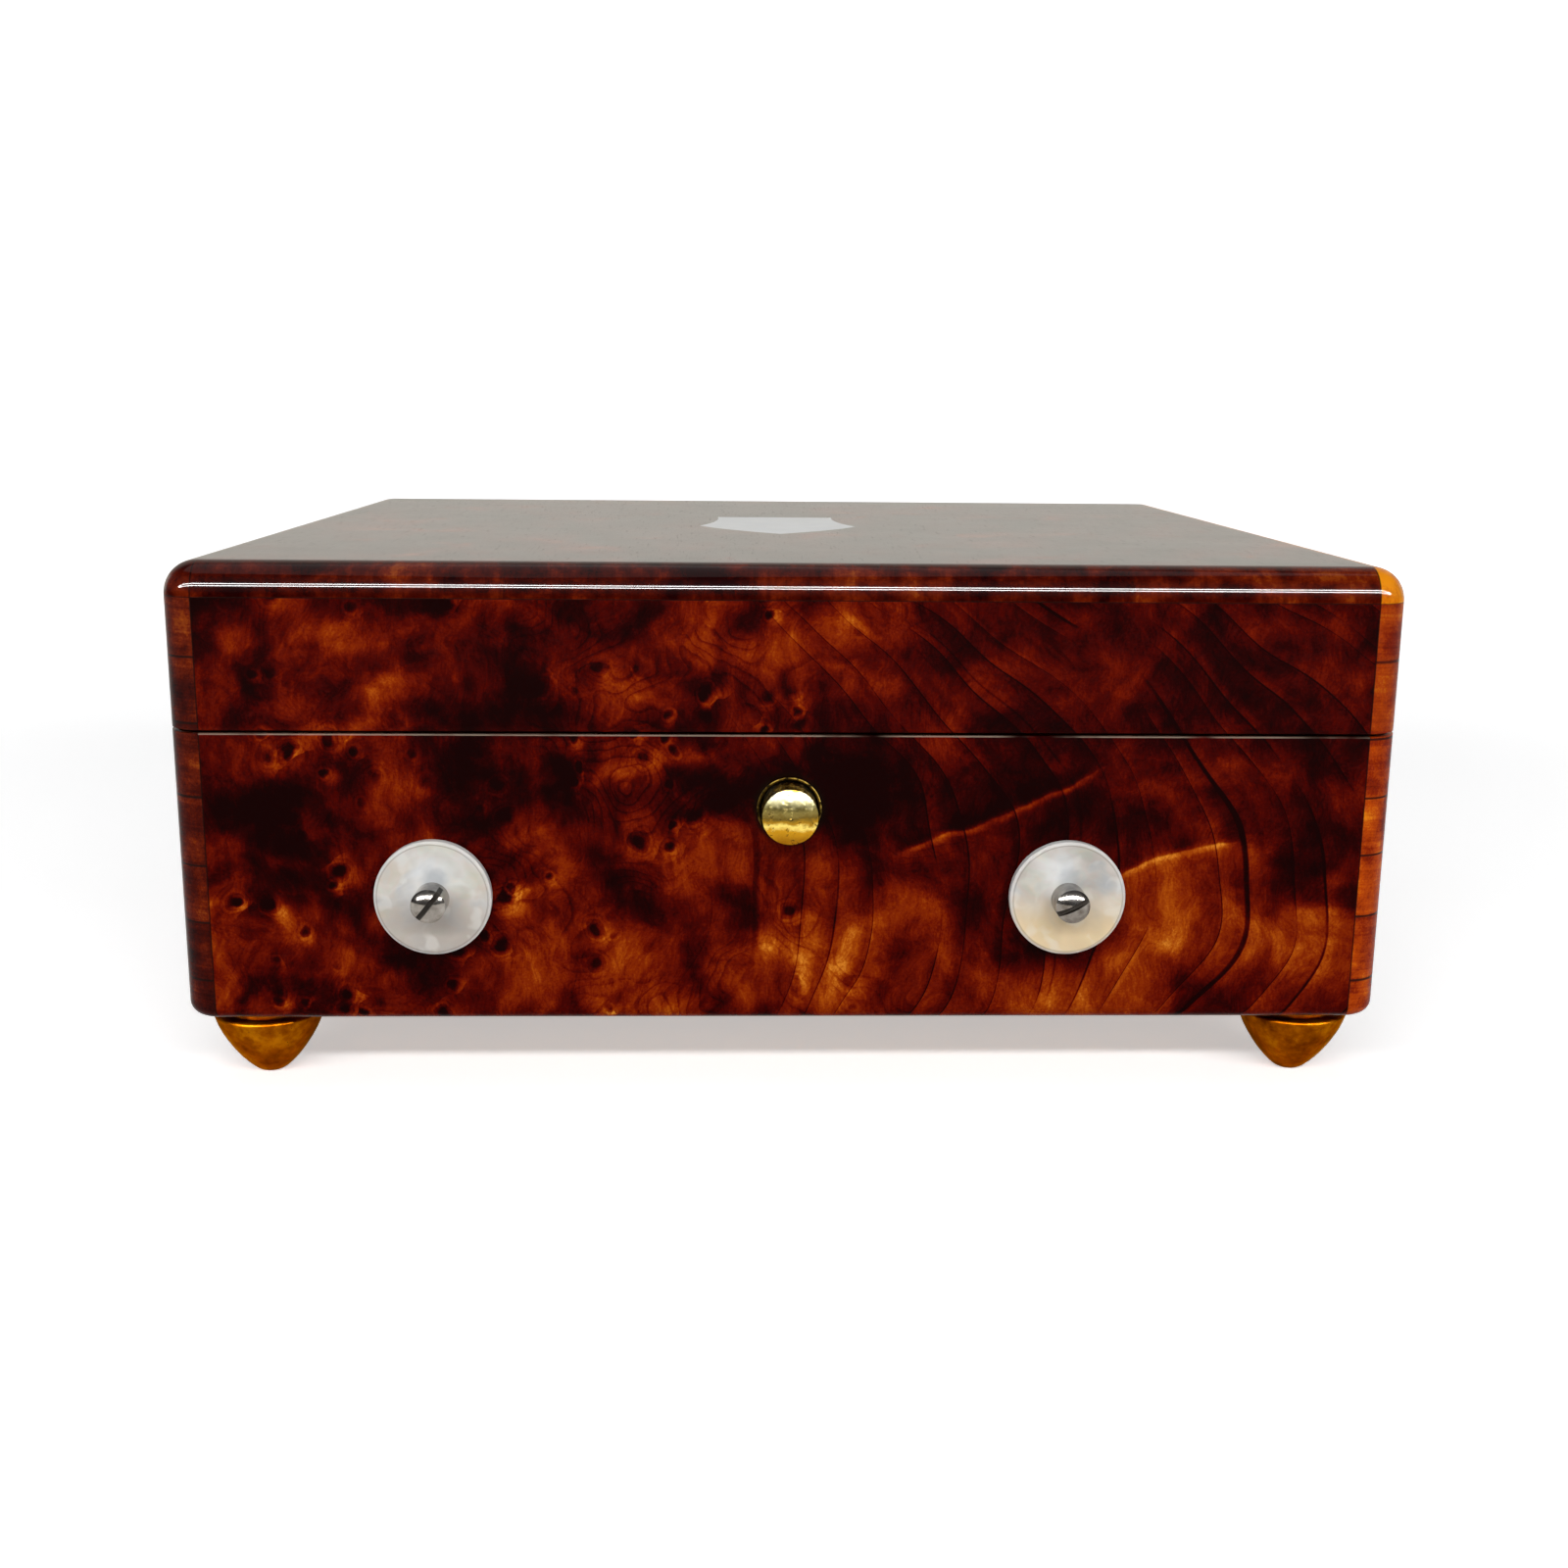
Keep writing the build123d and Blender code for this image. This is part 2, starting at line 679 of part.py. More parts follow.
def turned_foot(x, y):
    """A turned brass foot: a neck under the case, a rim, and a body that draws in to a small sole."""
    shoulder = FOOT_HEIGHT - FOOT_NECK
    rim_low = shoulder - FOOT_RIM
    body = []
    steps = 7
    for step in range(steps + 1):
        share = sin(step / steps * pi / 2)
        swell = (1 - share**FOOT_FULLNESS) ** (1 / FOOT_FULLNESS)
        body.append((FOOT_SOLE_RADIUS + (FOOT_RADIUS - FOOT_SOLE_RADIUS) * swell, rim_low * (1 - share)))
    with BuildPart() as foot:
        with BuildSketch(Plane(origin=(x, y, 0), x_dir=(1, 0, 0), z_dir=(0, -1, 0))):
            with BuildLine():
                Polyline(
                    (0, 0),
                    (0, FOOT_HEIGHT),
                    (FOOT_NECK_RADIUS, FOOT_HEIGHT),
                    (FOOT_NECK_RADIUS, shoulder),
                    (FOOT_RADIUS - FOOT_RIM, shoulder),
                )
                TangentArc((FOOT_RADIUS - FOOT_RIM, shoulder), (FOOT_RADIUS, rim_low), tangent=(1, 0))
                Spline(*body)
                Line(body[-1], (0, 0))
            make_face()
        revolve(axis=Axis((x, y, 0), (0, 0, 1)))
        with BuildSketch(Plane((x, y, FOOT_HEIGHT))):
            Circle(FOOT_STUD_RADIUS)
        extrude(amount=FOOT_STUD_LENGTH)
    return foot.part


foot_places = []
for side in (-1, 1):
    for y in (Y_FRONT + FOOT_INSET_Y, Y_BACK - FOOT_INSET_Y):
        foot_places.append((side * (CASE_LENGTH / 2 - FOOT_INSET_X), y))
save(joined([turned_foot(x, y) for x, y in foot_places]), "brass_feet")

# Walls of the body

catch_plane = Plane(origin=(0, Y_FRONT, above_case(BUTTON_HEIGHT)), z_dir=(0, 1, 0))
front_cutters = [
    body_bands,
    control_hole(PLAY_X),
    control_hole(CHANGE_X),
    rod(catch_plane, CATCH_BUSH_RADIUS, WALL),
]
save(mitred_wall(body_outer, "back", Z_CASE, Z_RIM, [body_bands, *hinge_cutters(False)]), "back_wall")
save(mitred_wall(body_outer, "left", Z_CASE, Z_RIM, [body_bands]), "left_wall")
save(mitred_wall(body_outer, "right", Z_CASE, Z_RIM, [body_bands]), "right_wall")

# Movement layout

drum_y = from_front(ARBOR_DEPTH)
arbor_z = above_case(ARBOR_HEIGHT)
bed_low = above_case(BEDPLATE_LOW)
bed_top = bed_low + BEDPLATE
pitch_z = arbor_z - DRIVE_RADIUS
crown_tip = pitch_z + 0.85 * CROWN_MODULE
crown_root = pitch_z - 1.2 * CROWN_MODULE
comb_left = CYLINDER_LEFT + (CYLINDER_LENGTH - COMB_TEETH * COMB_PITCH) / 2
train_distance = (GREAT_TEETH + PINION_TEETH) * TRAIN_MODULE / 2
governor_y = drum_y - train_distance
worm_y = governor_y - WORM_WHEEL_TEETH * WORM_MODULE / 2 - WORM_PITCH_RADIUS
worm_lead = pi * WORM_MODULE

pillar_places = []
for x in (BEDPLATE_LEFT + PILLAR_INSET, BEDPLATE_RIGHT - PILLAR_INSET):
    for depth in (BEDPLATE_FRONT + PILLAR_INSET, BEDPLATE_BACK - PILLAR_INSET):
        pillar_places.append((x, from_front(depth)))

base_cutters = [rod(Plane((DRUM_X, drum_y, Z_CASE)), KEY_HOLE_RADIUS, BASE_THICKNESS)]
for x, y in pillar_places:
    base_cutters.append(screw_hole(x, y, Z_FLOOR, 3))
for x, y in foot_places:
    base_cutters.append(rod(Plane((x, y, Z_CASE)), FOOT_STUD_RADIUS + SEAT, FOOT_STUD_LENGTH + SEAT))
base_plank = block(
    -INNER_LENGTH / 2, INNER_LENGTH / 2, Y_FRONT + WALL, Y_BACK - WALL, Z_CASE, Z_FLOOR
)
save(without(base_plank, base_cutters), "base_board")

# Partition, linings, glass cover and its ledges

ledge_low = above_case(GLASS_LOW - LEDGE_HEIGHT)
glass_low = above_case(GLASS_LOW)
glass_high = glass_low + GLASS
partition_y = from_front(PARTITION_FRONT)
save(
    block(-INNER_LENGTH / 2, INNER_LENGTH / 2, partition_y, partition_y + PARTITION, Z_FLOOR, Z_RIM - 0.4),
    "partition",
)
glass_front = from_front(WALL + LEDGE_LIP + CLEAR)
save(
    block(
        -INNER_LENGTH / 2 + CLEAR,
        INNER_LENGTH / 2 - CLEAR,
        glass_front,
        partition_y - CLEAR,
        glass_low,
        glass_high,
    ),
    "glass_cover",
)
NOTCH_HALF = 9.0


def front_ledge(x_low, x_high):
    """A stepped strip behind the front wall that carries the front edge of the glass."""
    lip = block(x_low, x_high, from_front(WALL), from_front(WALL + LEDGE_LIP), ledge_low, Z_RIM - 0.4)
    step = block(x_low, x_high, from_front(WALL), from_front(WALL + LEDGE_WIDTH), ledge_low, glass_low)
    return joined([lip, step])


ledges = [front_ledge(-INNER_LENGTH / 2, -NOTCH_HALF), front_ledge(NOTCH_HALF, INNER_LENGTH / 2)]
for low, high in ((-INNER_LENGTH / 2, -INNER_LENGTH / 2 + 4), (INNER_LENGTH / 2 - 4, INNER_LENGTH / 2)):
    ledges.append(block(low, high, from_front(WALL + LEDGE_WIDTH), partition_y, ledge_low, glass_low))
ledges.append(
    block(-INNER_LENGTH / 2 + 4, INNER_LENGTH / 2 - 4, partition_y - 4, partition_y, ledge_low, glass_low)
)
save(joined(ledges), "glass_ledges")

bead_high = glass_high + BEAD_HEIGHT
half_inner = INNER_LENGTH / 2
beads = []
for y_low in (glass_front, partition_y - BEAD):
    beads.append(block(-half_inner, half_inner, y_low, y_low + BEAD, glass_high, bead_high))
for x_low in (-half_inner, half_inner - BEAD):
    beads.append(
        block(x_low, x_low + BEAD, glass_front + BEAD, partition_y - BEAD, glass_high, bead_high)
    )
save(joined(beads), "glass_beading")

lined_front = partition_y + PARTITION
lined_back = Y_BACK - WALL
lining_top = Z_RIM - 3
with BuildPart() as tray_lining:
    add(block(-INNER_LENGTH / 2, INNER_LENGTH / 2, lined_front, lined_back, Z_FLOOR, lining_top))
    add(
        block(
            -INNER_LENGTH / 2 + LINING,
            INNER_LENGTH / 2 - LINING,
            lined_front + LINING,
            lined_back - LINING,
            Z_FLOOR + LINING,
            lining_top,
        ),
        mode=Mode.SUBTRACT,
    )
save(tray_lining.part, "compartment_lining")

# Lid

board_low = Z_TOP - LID_TOP_THICKNESS
shield_recess = shield(Z_TOP - SHIELD_THICKNESS, Z_TOP + 1)
with BuildPart() as lid_board:
    add(lid_outer)
    with BuildSketch(Plane((0, Y_MIDDLE, board_low))):
        Rectangle(CASE_LENGTH, CASE_DEPTH)
    extrude(amount=LID_TOP_THICKNESS, mode=Mode.INTERSECT)
    for band in (lid_bands, edge_bands, shield_recess):
        add(band, mode=Mode.SUBTRACT)
save(lid_board.part, "lid_board")
save(shield(Z_TOP - SHIELD_THICKNESS, Z_TOP), "shield_inlay")

# The keeper stands on the inside of the lid's front rail, and the hook's nose above its lip.
HOOK_THICKNESS = 1.2
HOOK_HALF_WIDTH = 4.0
HOOK_FRONT = WALL + 3.0
NOSE_REACH = 1.1
NOSE_LOW = Z_LID + 4.2
NOSE_HEIGHT = 2.0
KEEPER_HALF_WIDTH = 7.0
KEEPER_THICKNESS = 1.0
KEEPER_LOW = Z_LID + 2.0
KEEPER_HIGH = Z_LID + 11.0
LIP_HEIGHT = 1.5

keeper_face = from_front(WALL)
lip_reach = HOOK_FRONT - NOSE_REACH - CLEAR - WALL
keeper_screw_places = [(-4.6, Z_LID + 8.6), (4.6, Z_LID + 8.6)]


def wall_screw(x, y, z, length, thickness):
    """A slotted screw through a plate on the inside of the front wall or rail. Y is the plate's face."""
    with BuildPart() as screw:
        with BuildSketch(Plane(origin=(x, y, z), z_dir=(0, 1, 0))):
            Circle(1.5)
        extrude(amount=0.8)
        with BuildSketch(Plane(origin=(x, y + 0.8, z), z_dir=(0, 1, 0))):
            Rectangle(4, 0.45, rotation=35)
        extrude(amount=-0.4, mode=Mode.SUBTRACT)
        with BuildSketch(Plane(origin=(x, y, z), z_dir=(0, 1, 0))):
            Circle(0.8)
        extrude(amount=-(length + thickness))
    return screw.part


def wall_screw_hole(x, y, z, length, thickness):
    """The hole that goes with a wall screw."""
    plane = Plane(origin=(x, y, z), z_dir=(0, -1, 0))
    return rod(plane, 0.8 + SEAT, length + thickness + SEAT)


with BuildPart() as keeper:
    add(
        block(
            -KEEPER_HALF_WIDTH,
            KEEPER_HALF_WIDTH,
            keeper_face,
            keeper_face + KEEPER_THICKNESS,
            KEEPER_LOW,
            KEEPER_HIGH,
        )
    )
    add(
        block(
            -HOOK_HALF_WIDTH,
            HOOK_HALF_WIDTH,
            keeper_face,
            keeper_face + lip_reach,
            KEEPER_LOW,
            KEEPER_LOW + LIP_HEIGHT,
        )
    )
    for x, z in keeper_screw_places:
        add(
            wall_screw_hole(x, keeper_face + KEEPER_THICKNESS, z, 0, KEEPER_THICKNESS),
            mode=Mode.SUBTRACT,
        )
save(keeper.part, "catch_keeper")
keeper_screws = []
front_rail_cutters = [lid_bands]
for x, z in keeper_screw_places:
    keeper_screws.append(wall_screw(x, keeper_face + KEEPER_THICKNESS, z, 4, KEEPER_THICKNESS))
    front_rail_cutters.append(wall_screw_hole(x, keeper_face + KEEPER_THICKNESS, z, 4, KEEPER_THICKNESS))
save(joined(keeper_screws), "keeper_screws")

save(mitred_wall(lid_outer, "front", Z_LID, board_low, front_rail_cutters), "lid_front_rail")
save(mitred_wall(lid_outer, "back", Z_LID, board_low, [lid_bands, *hinge_cutters(True)]), "lid_back_rail")
side_rails = []
for side in ("left", "right"):
    side_rails.append(mitred_wall(lid_outer, side, Z_LID, board_low, [lid_bands]))
save(joined(side_rails), "lid_side_rails")
save(
    block(
        -INNER_LENGTH / 2, INNER_LENGTH / 2, Y_FRONT + WALL, Y_BACK - WALL, board_low - LINING, board_low
    ),
    "lid_lining",
)

# Push button, its bush, hook, spring and bracket

BRACKET_HALF_WIDTH = 7.5
BRACKET_ARM = 1.0
BRACKET_DEPTH = 12.0
BRACKET_HALF_HEIGHT = 4.5
BRACKET_FOOT = 5.0
CUP_RADIUS = 3.2
CUP_WALL = 0.8
COIL_WIRE = 0.3
COIL_RADIUS = 2.3
COIL_PITCH = 1.6
COIL_TURNS = 4

web_plane = Plane(
    origin=(0, from_front(WALL - CATCH_BUSH_WEB), above_case(BUTTON_HEIGHT)), z_dir=(0, 1, 0)
)
shank_bore = BUTTON_SHANK_RADIUS + RUNNING
bush_cup = rod(catch_plane, CATCH_BUSH_RADIUS - SEAT, WALL, BUTTON_RADIUS + BUTTON_GAP)
bush_web = rod(web_plane, CATCH_BUSH_RADIUS - SEAT, CATCH_BUSH_WEB, shank_bore)
bush_tail = rod(web_plane, BUTTON_RADIUS - 1, CATCH_BUSH_WEB + CATCH_BUSH_TAIL, shank_bore)
save(joined([bush_cup, bush_web, bush_tail]), "catch_bush")

hook_y = from_front(HOOK_FRONT)
button_middle, button_drop = dome_middle(BUTTON_RADIUS, BUTTON_DOME)
button_origin = (0, Y_FRONT, above_case(BUTTON_HEIGHT))
with BuildPart() as button:
    with BuildSketch(Plane(origin=button_origin, x_dir=(1, 0, 0), z_dir=(0, 0, 1))):
        with BuildLine():
            Polyline(
                (0, -BUTTON_PROUD),
                (0, HOOK_FRONT + HOOK_THICKNESS),
                (BUTTON_SHANK_RADIUS * 0.7, HOOK_FRONT + HOOK_THICKNESS),
                (BUTTON_SHANK_RADIUS * 0.7, HOOK_FRONT),
                (BUTTON_SHANK_RADIUS, HOOK_FRONT),
                (BUTTON_SHANK_RADIUS, BUTTON_SKIRT),
                (BUTTON_RADIUS, BUTTON_SKIRT),
                (BUTTON_RADIUS, -BUTTON_PROUD + BUTTON_DOME),
            )
            ThreePointArc(
                (BUTTON_RADIUS, -BUTTON_PROUD + BUTTON_DOME),
                (button_middle, -BUTTON_PROUD + button_drop),
                (0, -BUTTON_PROUD),
            )
        make_face()
    revolve(axis=Axis(button_origin, (0, 1, 0)))
save(button.part, "catch_button")

hook_low = above_case(BUTTON_HEIGHT) - BRACKET_HALF_HEIGHT + 0.5
with BuildPart() as hook:
    with BuildSketch(Plane(origin=(-HOOK_HALF_WIDTH, hook_y, 0), x_dir=(0, 1, 0), z_dir=(1, 0, 0))):
        with BuildLine():
            Polyline(
                (0, hook_low),
                (HOOK_THICKNESS, hook_low),
                (HOOK_THICKNESS, NOSE_LOW + NOSE_HEIGHT),
                (0, NOSE_LOW + NOSE_HEIGHT),
                (-NOSE_REACH, NOSE_LOW + 0.4),
                (-NOSE_REACH, NOSE_LOW),
                (0, NOSE_LOW),
                close=True,
            )
        make_face()
    extrude(amount=2 * HOOK_HALF_WIDTH)
    rivet = Plane(origin=(0, hook_y, above_case(BUTTON_HEIGHT)), z_dir=(0, 1, 0))
    add(rod(rivet, BUTTON_SHANK_RADIUS * 0.7 + SEAT, HOOK_THICKNESS), mode=Mode.SUBTRACT)
save(hook.part, "catch_hook")

coil_front = hook_y + HOOK_THICKNESS + COIL_WIRE
with BuildPart() as coil:
    with BuildLine():
        turns = Helix(COIL_PITCH, COIL_PITCH * COIL_TURNS, COIL_RADIUS)
    with BuildSketch(Plane(origin=turns @ 0, x_dir=(1, 0, 0), z_dir=turns % 0)):
        RegularPolygon(COIL_WIRE, 6)
    sweep(path=turns, is_frenet=True)
coil_points = []
for step in range(COIL_TURNS * WOUND_STEPS + 1):
    angle = 2 * pi * step / WOUND_STEPS
    coil_points.append((COIL_RADIUS * cos(angle), COIL_RADIUS * sin(angle), COIL_PITCH * step / WOUND_STEPS))
coil_gap = least_gap(coil_points, 2 * COIL_WIRE, WOUND_STEPS // 2)
print("catch_spring, least gap to itself in mm:", round(coil_gap, 2))
lying_coil = coil.part.rotate(Axis.X, -90)
save(lying_coil.moved(Location((0, coil_front, above_case(BUTTON_HEIGHT)))), "catch_spring")

bracket_back = from_front(WALL + BRACKET_DEPTH)
cup_depth = coil_front + COIL_PITCH * COIL_TURNS + COIL_WIRE + BUTTON_TRAVEL + CLEAR - bracket_back
bracket_screw_places = []
for side in (-1, 1):
    middle = side * (BRACKET_HALF_WIDTH + BRACKET_ARM + (BRACKET_FOOT - BRACKET_ARM) / 2)
    bracket_screw_places.append((middle, above_case(BUTTON_HEIGHT)))
with BuildPart() as bracket:
    wall_back = from_front(WALL)
    with BuildSketch(Plane((0, 0, above_case(BUTTON_HEIGHT) - BRACKET_HALF_HEIGHT))):
        with BuildLine():
            outer_x = BRACKET_HALF_WIDTH + BRACKET_ARM
            foot_x = BRACKET_HALF_WIDTH + BRACKET_FOOT
            Polyline(
                (-foot_x, wall_back),
                (-BRACKET_HALF_WIDTH, wall_back),
                (-BRACKET_HALF_WIDTH, bracket_back - BRACKET_ARM),
                (BRACKET_HALF_WIDTH, bracket_back - BRACKET_ARM),
                (BRACKET_HALF_WIDTH, wall_back),
                (foot_x, wall_back),
                (foot_x, wall_back + BRACKET_ARM),
                (outer_x, wall_back + BRACKET_ARM),
                (outer_x, bracket_back),
                (-outer_x, bracket_back),
                (-outer_x, wall_back + BRACKET_ARM),
                (-foot_x, wall_back + BRACKET_ARM),
                close=True,
            )
        make_face()
    extrude(amount=2 * BRACKET_HALF_HEIGHT)
    arm_plane = Plane(
        origin=(0, bracket_back - BRACKET_ARM, above_case(BUTTON_HEIGHT)), z_dir=(0, 1, 0)
    )
    cup_plane = Plane(origin=(0, bracket_back, above_case(BUTTON_HEIGHT)), z_dir=(0, 1, 0))
    add(rod(cup_plane, CUP_RADIUS + CUP_WALL, cup_depth + CUP_WALL))
    add(rod(arm_plane, CUP_RADIUS, BRACKET_ARM + cup_depth), mode=Mode.SUBTRACT)
    for x, z in bracket_screw_places:
        add(wall_screw_hole(x, wall_back + BRACKET_ARM, z, 0, BRACKET_ARM), mode=Mode.SUBTRACT)
save(bracket.part, "catch_bracket")
bracket_screws = []
for x, z in bracket_screw_places:
    bracket_screws.append(wall_screw(x, wall_back + BRACKET_ARM, z, 4, BRACKET_ARM))
    front_cutters.append(wall_screw_hole(x, wall_back + BRACKET_ARM, z, 4, BRACKET_ARM))
save(joined(bracket_screws), "bracket_screws")
save(mitred_wall(body_outer, "front", Z_CASE, Z_RIM, front_cutters), "front_wall")

# Bedplate on its legs


def x_plane(x, y, z):
    """A plane across the box, with Y and Z as its own directions."""
    return Plane(origin=(x, y, z), x_dir=(0, 1, 0), z_dir=(1, 0, 0))


def cross_plate(x_low, x_high, outline):
    """A plate across the box, drawn by depth and height points."""
    with BuildPart() as plate:
        with BuildSketch(x_plane(x_low, Y_FRONT, Z_CASE)):
            with BuildLine():
                Polyline(*outline, close=True)
            make_face()
        extrude(amount=x_high - x_low)
    return plate.part


legs = []
movement_screws = []
for x, y in pillar_places:
    leg = rod(Plane((x, y, Z_FLOOR)), PILLAR_RADIUS, bed_low - Z_FLOOR)
    legs.append(leg)
    movement_screws.append(cheese_screw(x, y, bed_top, bed_top - Z_FLOOR + 3))

# Left and right bearings of the cylinder and of the governor

bed_height = BEDPLATE_LOW + BEDPLATE
cock_high = ARBOR_HEIGHT + COCK_TOP
governor_depth = governor_y - Y_FRONT
worm_depth = worm_y - Y_FRONT
arbor_bore = ARBOR_RADIUS + RUNNING
governor_bore = GOVERNOR_ARBOR_RADIUS + RUNNING
foot_high = bed_height + COCK_FOOT
LEFT_COCK_X = CHANGE_X - 2.1
cam_back = ARBOR_DEPTH - ARBOR_RADIUS - 1.7

left_cock_front = cam_back + CLEAR + 0.2
left_cock = joined(
    [
        cross_plate(
            LEFT_COCK_X,
            LEFT_COCK_X + COCK_THICKNESS,
            [
                (left_cock_front, bed_height),
                (ARBOR_DEPTH + 12, bed_height),
                (ARBOR_DEPTH + 5, cock_high),
                (left_cock_front, cock_high),
            ],
        ),
        block(
            LEFT_COCK_X,
            LEFT_COCK_X + 8,
            from_front(ARBOR_DEPTH + 4),
            from_front(ARBOR_DEPTH + 12),
            bed_top,
            bed_top + COCK_FOOT,
        ),
    ]
)
left_screw = (LEFT_COCK_X + 5.4, from_front(ARBOR_DEPTH + 8))
left_bore = rod(x_plane(LEFT_COCK_X, drum_y, arbor_z), arbor_bore, COCK_THICKNESS)
save(without(left_cock, [left_bore, screw_hole(*left_screw, bed_top + COCK_FOOT, COCK_FOOT)]), "left_cock")

RIGHT_COCK_X = GREAT_WHEEL_X + WHEEL_THICKNESS + 2
right_cock = joined(
    [
        cross_plate(
            RIGHT_COCK_X,
            RIGHT_COCK_X + COCK_THICKNESS,
            [
                (governor_depth - 3.6, bed_height),
                (ARBOR_DEPTH + 6, bed_height),
                (ARBOR_DEPTH + 3.6, cock_high),
                (governor_depth - 3.6, cock_high),
            ],
        ),
        block(
            RIGHT_COCK_X,
            RIGHT_COCK_X + 8.5,
            from_front(ARBOR_DEPTH - 2),
            from_front(ARBOR_DEPTH + 6),
            bed_top,
            bed_top + COCK_FOOT,
        ),
    ]
)
right_screw = (RIGHT_COCK_X + 5.8, from_front(ARBOR_DEPTH + 2))
right_bores = [
    rod(x_plane(RIGHT_COCK_X, drum_y, arbor_z), arbor_bore, COCK_THICKNESS),
    rod(x_plane(RIGHT_COCK_X, governor_y, arbor_z), governor_bore, COCK_THICKNESS),
    screw_hole(*right_screw, bed_top + COCK_FOOT, COCK_FOOT),
]
save(without(right_cock, right_bores), "right_cock")

GOVERNOR_COCK_X = WORM_X + 4
GOVERNOR_COCK_THICKNESS = 2.5
ARM_LOW = 36.2
ARM_THICKNESS = 2.3
governor_cock = joined(
    [
        cross_plate(
            GOVERNOR_COCK_X,
            GOVERNOR_COCK_X + GOVERNOR_COCK_THICKNESS,
            [
                (governor_depth - 3.6, bed_height),
                (governor_depth + 5.2, bed_height),
                (governor_depth + 3.6, ARM_LOW + ARM_THICKNESS),
                (governor_depth - 3.6, ARM_LOW + ARM_THICKNESS),
            ],
        ),
        block(
            WORM_X - 2.6,
            GOVERNOR_COCK_X + GOVERNOR_COCK_THICKNESS,
            from_front(worm_depth - 2.6),
            from_front(governor_depth + 3.6),
            above_case(ARM_LOW),
            above_case(ARM_LOW + ARM_THICKNESS),
        ),
        block(
            GOVERNOR_COCK_X,
            GOVERNOR_COCK_X + 9.5,
            from_front(governor_depth - 2.8),
            from_front(governor_depth + 5.2),
            bed_top,
            bed_top + COCK_FOOT,
        ),
    ]
)
governor_screw = (GOVERNOR_COCK_X + 6, from_front(governor_depth + 1.2))
governor_bores = [
    rod(x_plane(GOVERNOR_COCK_X, governor_y, arbor_z), governor_bore, GOVERNOR_COCK_THICKNESS),
    rod(Plane((WORM_X, worm_y, above_case(ARM_LOW))), WORM_PIVOT_RADIUS + RUNNING, ARM_THICKNESS),
    screw_hole(*governor_screw, bed_top + COCK_FOOT, COCK_FOOT),
]
save(without(governor_cock, governor_bores), "governor_cock")

bed_cutters = [
    rod(Plane((DRUM_X, drum_y, bed_low)), WINDING_RADIUS + RUNNING, BEDPLATE),
    rod(Plane((WORM_X, worm_y, bed_low)), WORM_PIVOT_RADIUS + RUNNING, BEDPLATE),
]
for x, y in (left_screw, right_screw, governor_screw):
    movement_screws.append(cheese_screw(x, y, bed_top + COCK_FOOT, COCK_FOOT + BEDPLATE))
    bed_cutters.append(screw_hole(x, y, bed_top, BEDPLATE))
for x, y in pillar_places:
    bed_cutters.append(screw_hole(x, y, bed_top, bed_top - Z_FLOOR))

# Click and ratchet under the bedplate

CLICK_PIVOT = (8.6, 8.6)
CLICK_EYE = 2.2
CLICK_BORE = 1.2
CLICK_GAP = 0.12
click_x = DRUM_X + CLICK_PIVOT[0]
click_y = drum_y + CLICK_PIVOT[1]
ratchet_low = above_case(RATCHET_LOW)
with BuildPart() as click:
    with BuildSketch(Plane((DRUM_X, drum_y, ratchet_low))):
        with BuildLine():
            Polyline(
                (RATCHET_RADIUS + CLICK_GAP, 0.2),
                (RATCHET_RADIUS + 1.2, -0.5),
                (CLICK_PIVOT[0] + CLICK_EYE * 0.9, CLICK_PIVOT[1]),
                (CLICK_PIVOT[0] - CLICK_EYE * 0.9, CLICK_PIVOT[1]),
                close=True,
            )
        make_face()
        with Locations(CLICK_PIVOT):
            Circle(CLICK_EYE)
            Circle(CLICK_BORE + RUNNING, mode=Mode.SUBTRACT)
    extrude(amount=RATCHET_THICKNESS)
save(click.part, "click")
shoulder = rod(Plane((click_x, click_y, ratchet_low - CLEAR)), CLICK_BORE, bed_low - ratchet_low + CLEAR)
click_head = rod(Plane((click_x, click_y, ratchet_low - CLEAR - 1)), CLICK_EYE, 1)
click_thread = rod(Plane((click_x, click_y, bed_low)), SCREW_RADIUS, BEDPLATE)
movement_screws.append(joined([shoulder, click_head, click_thread]))
bed_cutters.append(rod(Plane((click_x, click_y, bed_low)), SCREW_RADIUS + SEAT, BEDPLATE))

bed_block = block(
    BEDPLATE_LEFT,
    BEDPLATE_RIGHT,
    from_front(BEDPLATE_FRONT),
    from_front(BEDPLATE_BACK),
    bed_low,
    bed_top,
)
save(without(joined([bed_block, *legs]), bed_cutters), "bedplate")

# Spring barrel

drum_low = bed_top + DRUM_CLEARANCE
cover_low = crown_root - CROWN_COVER
with BuildPart() as drum:
    with BuildSketch(Plane((DRUM_X, drum_y, drum_low))):
        Circle(DRUM_RADIUS)
        Circle(WINDING_RADIUS + RUNNING, mode=Mode.SUBTRACT)
    extrude(amount=DRUM_WALL)
    with BuildSketch(Plane((DRUM_X, drum_y, drum_low + DRUM_WALL))):
        Circle(DRUM_RADIUS)
        Circle(DRUM_RADIUS - DRUM_WALL, mode=Mode.SUBTRACT)
    extrude(amount=cover_low - drum_low - DRUM_WALL)
save(drum.part, "barrel_drum")

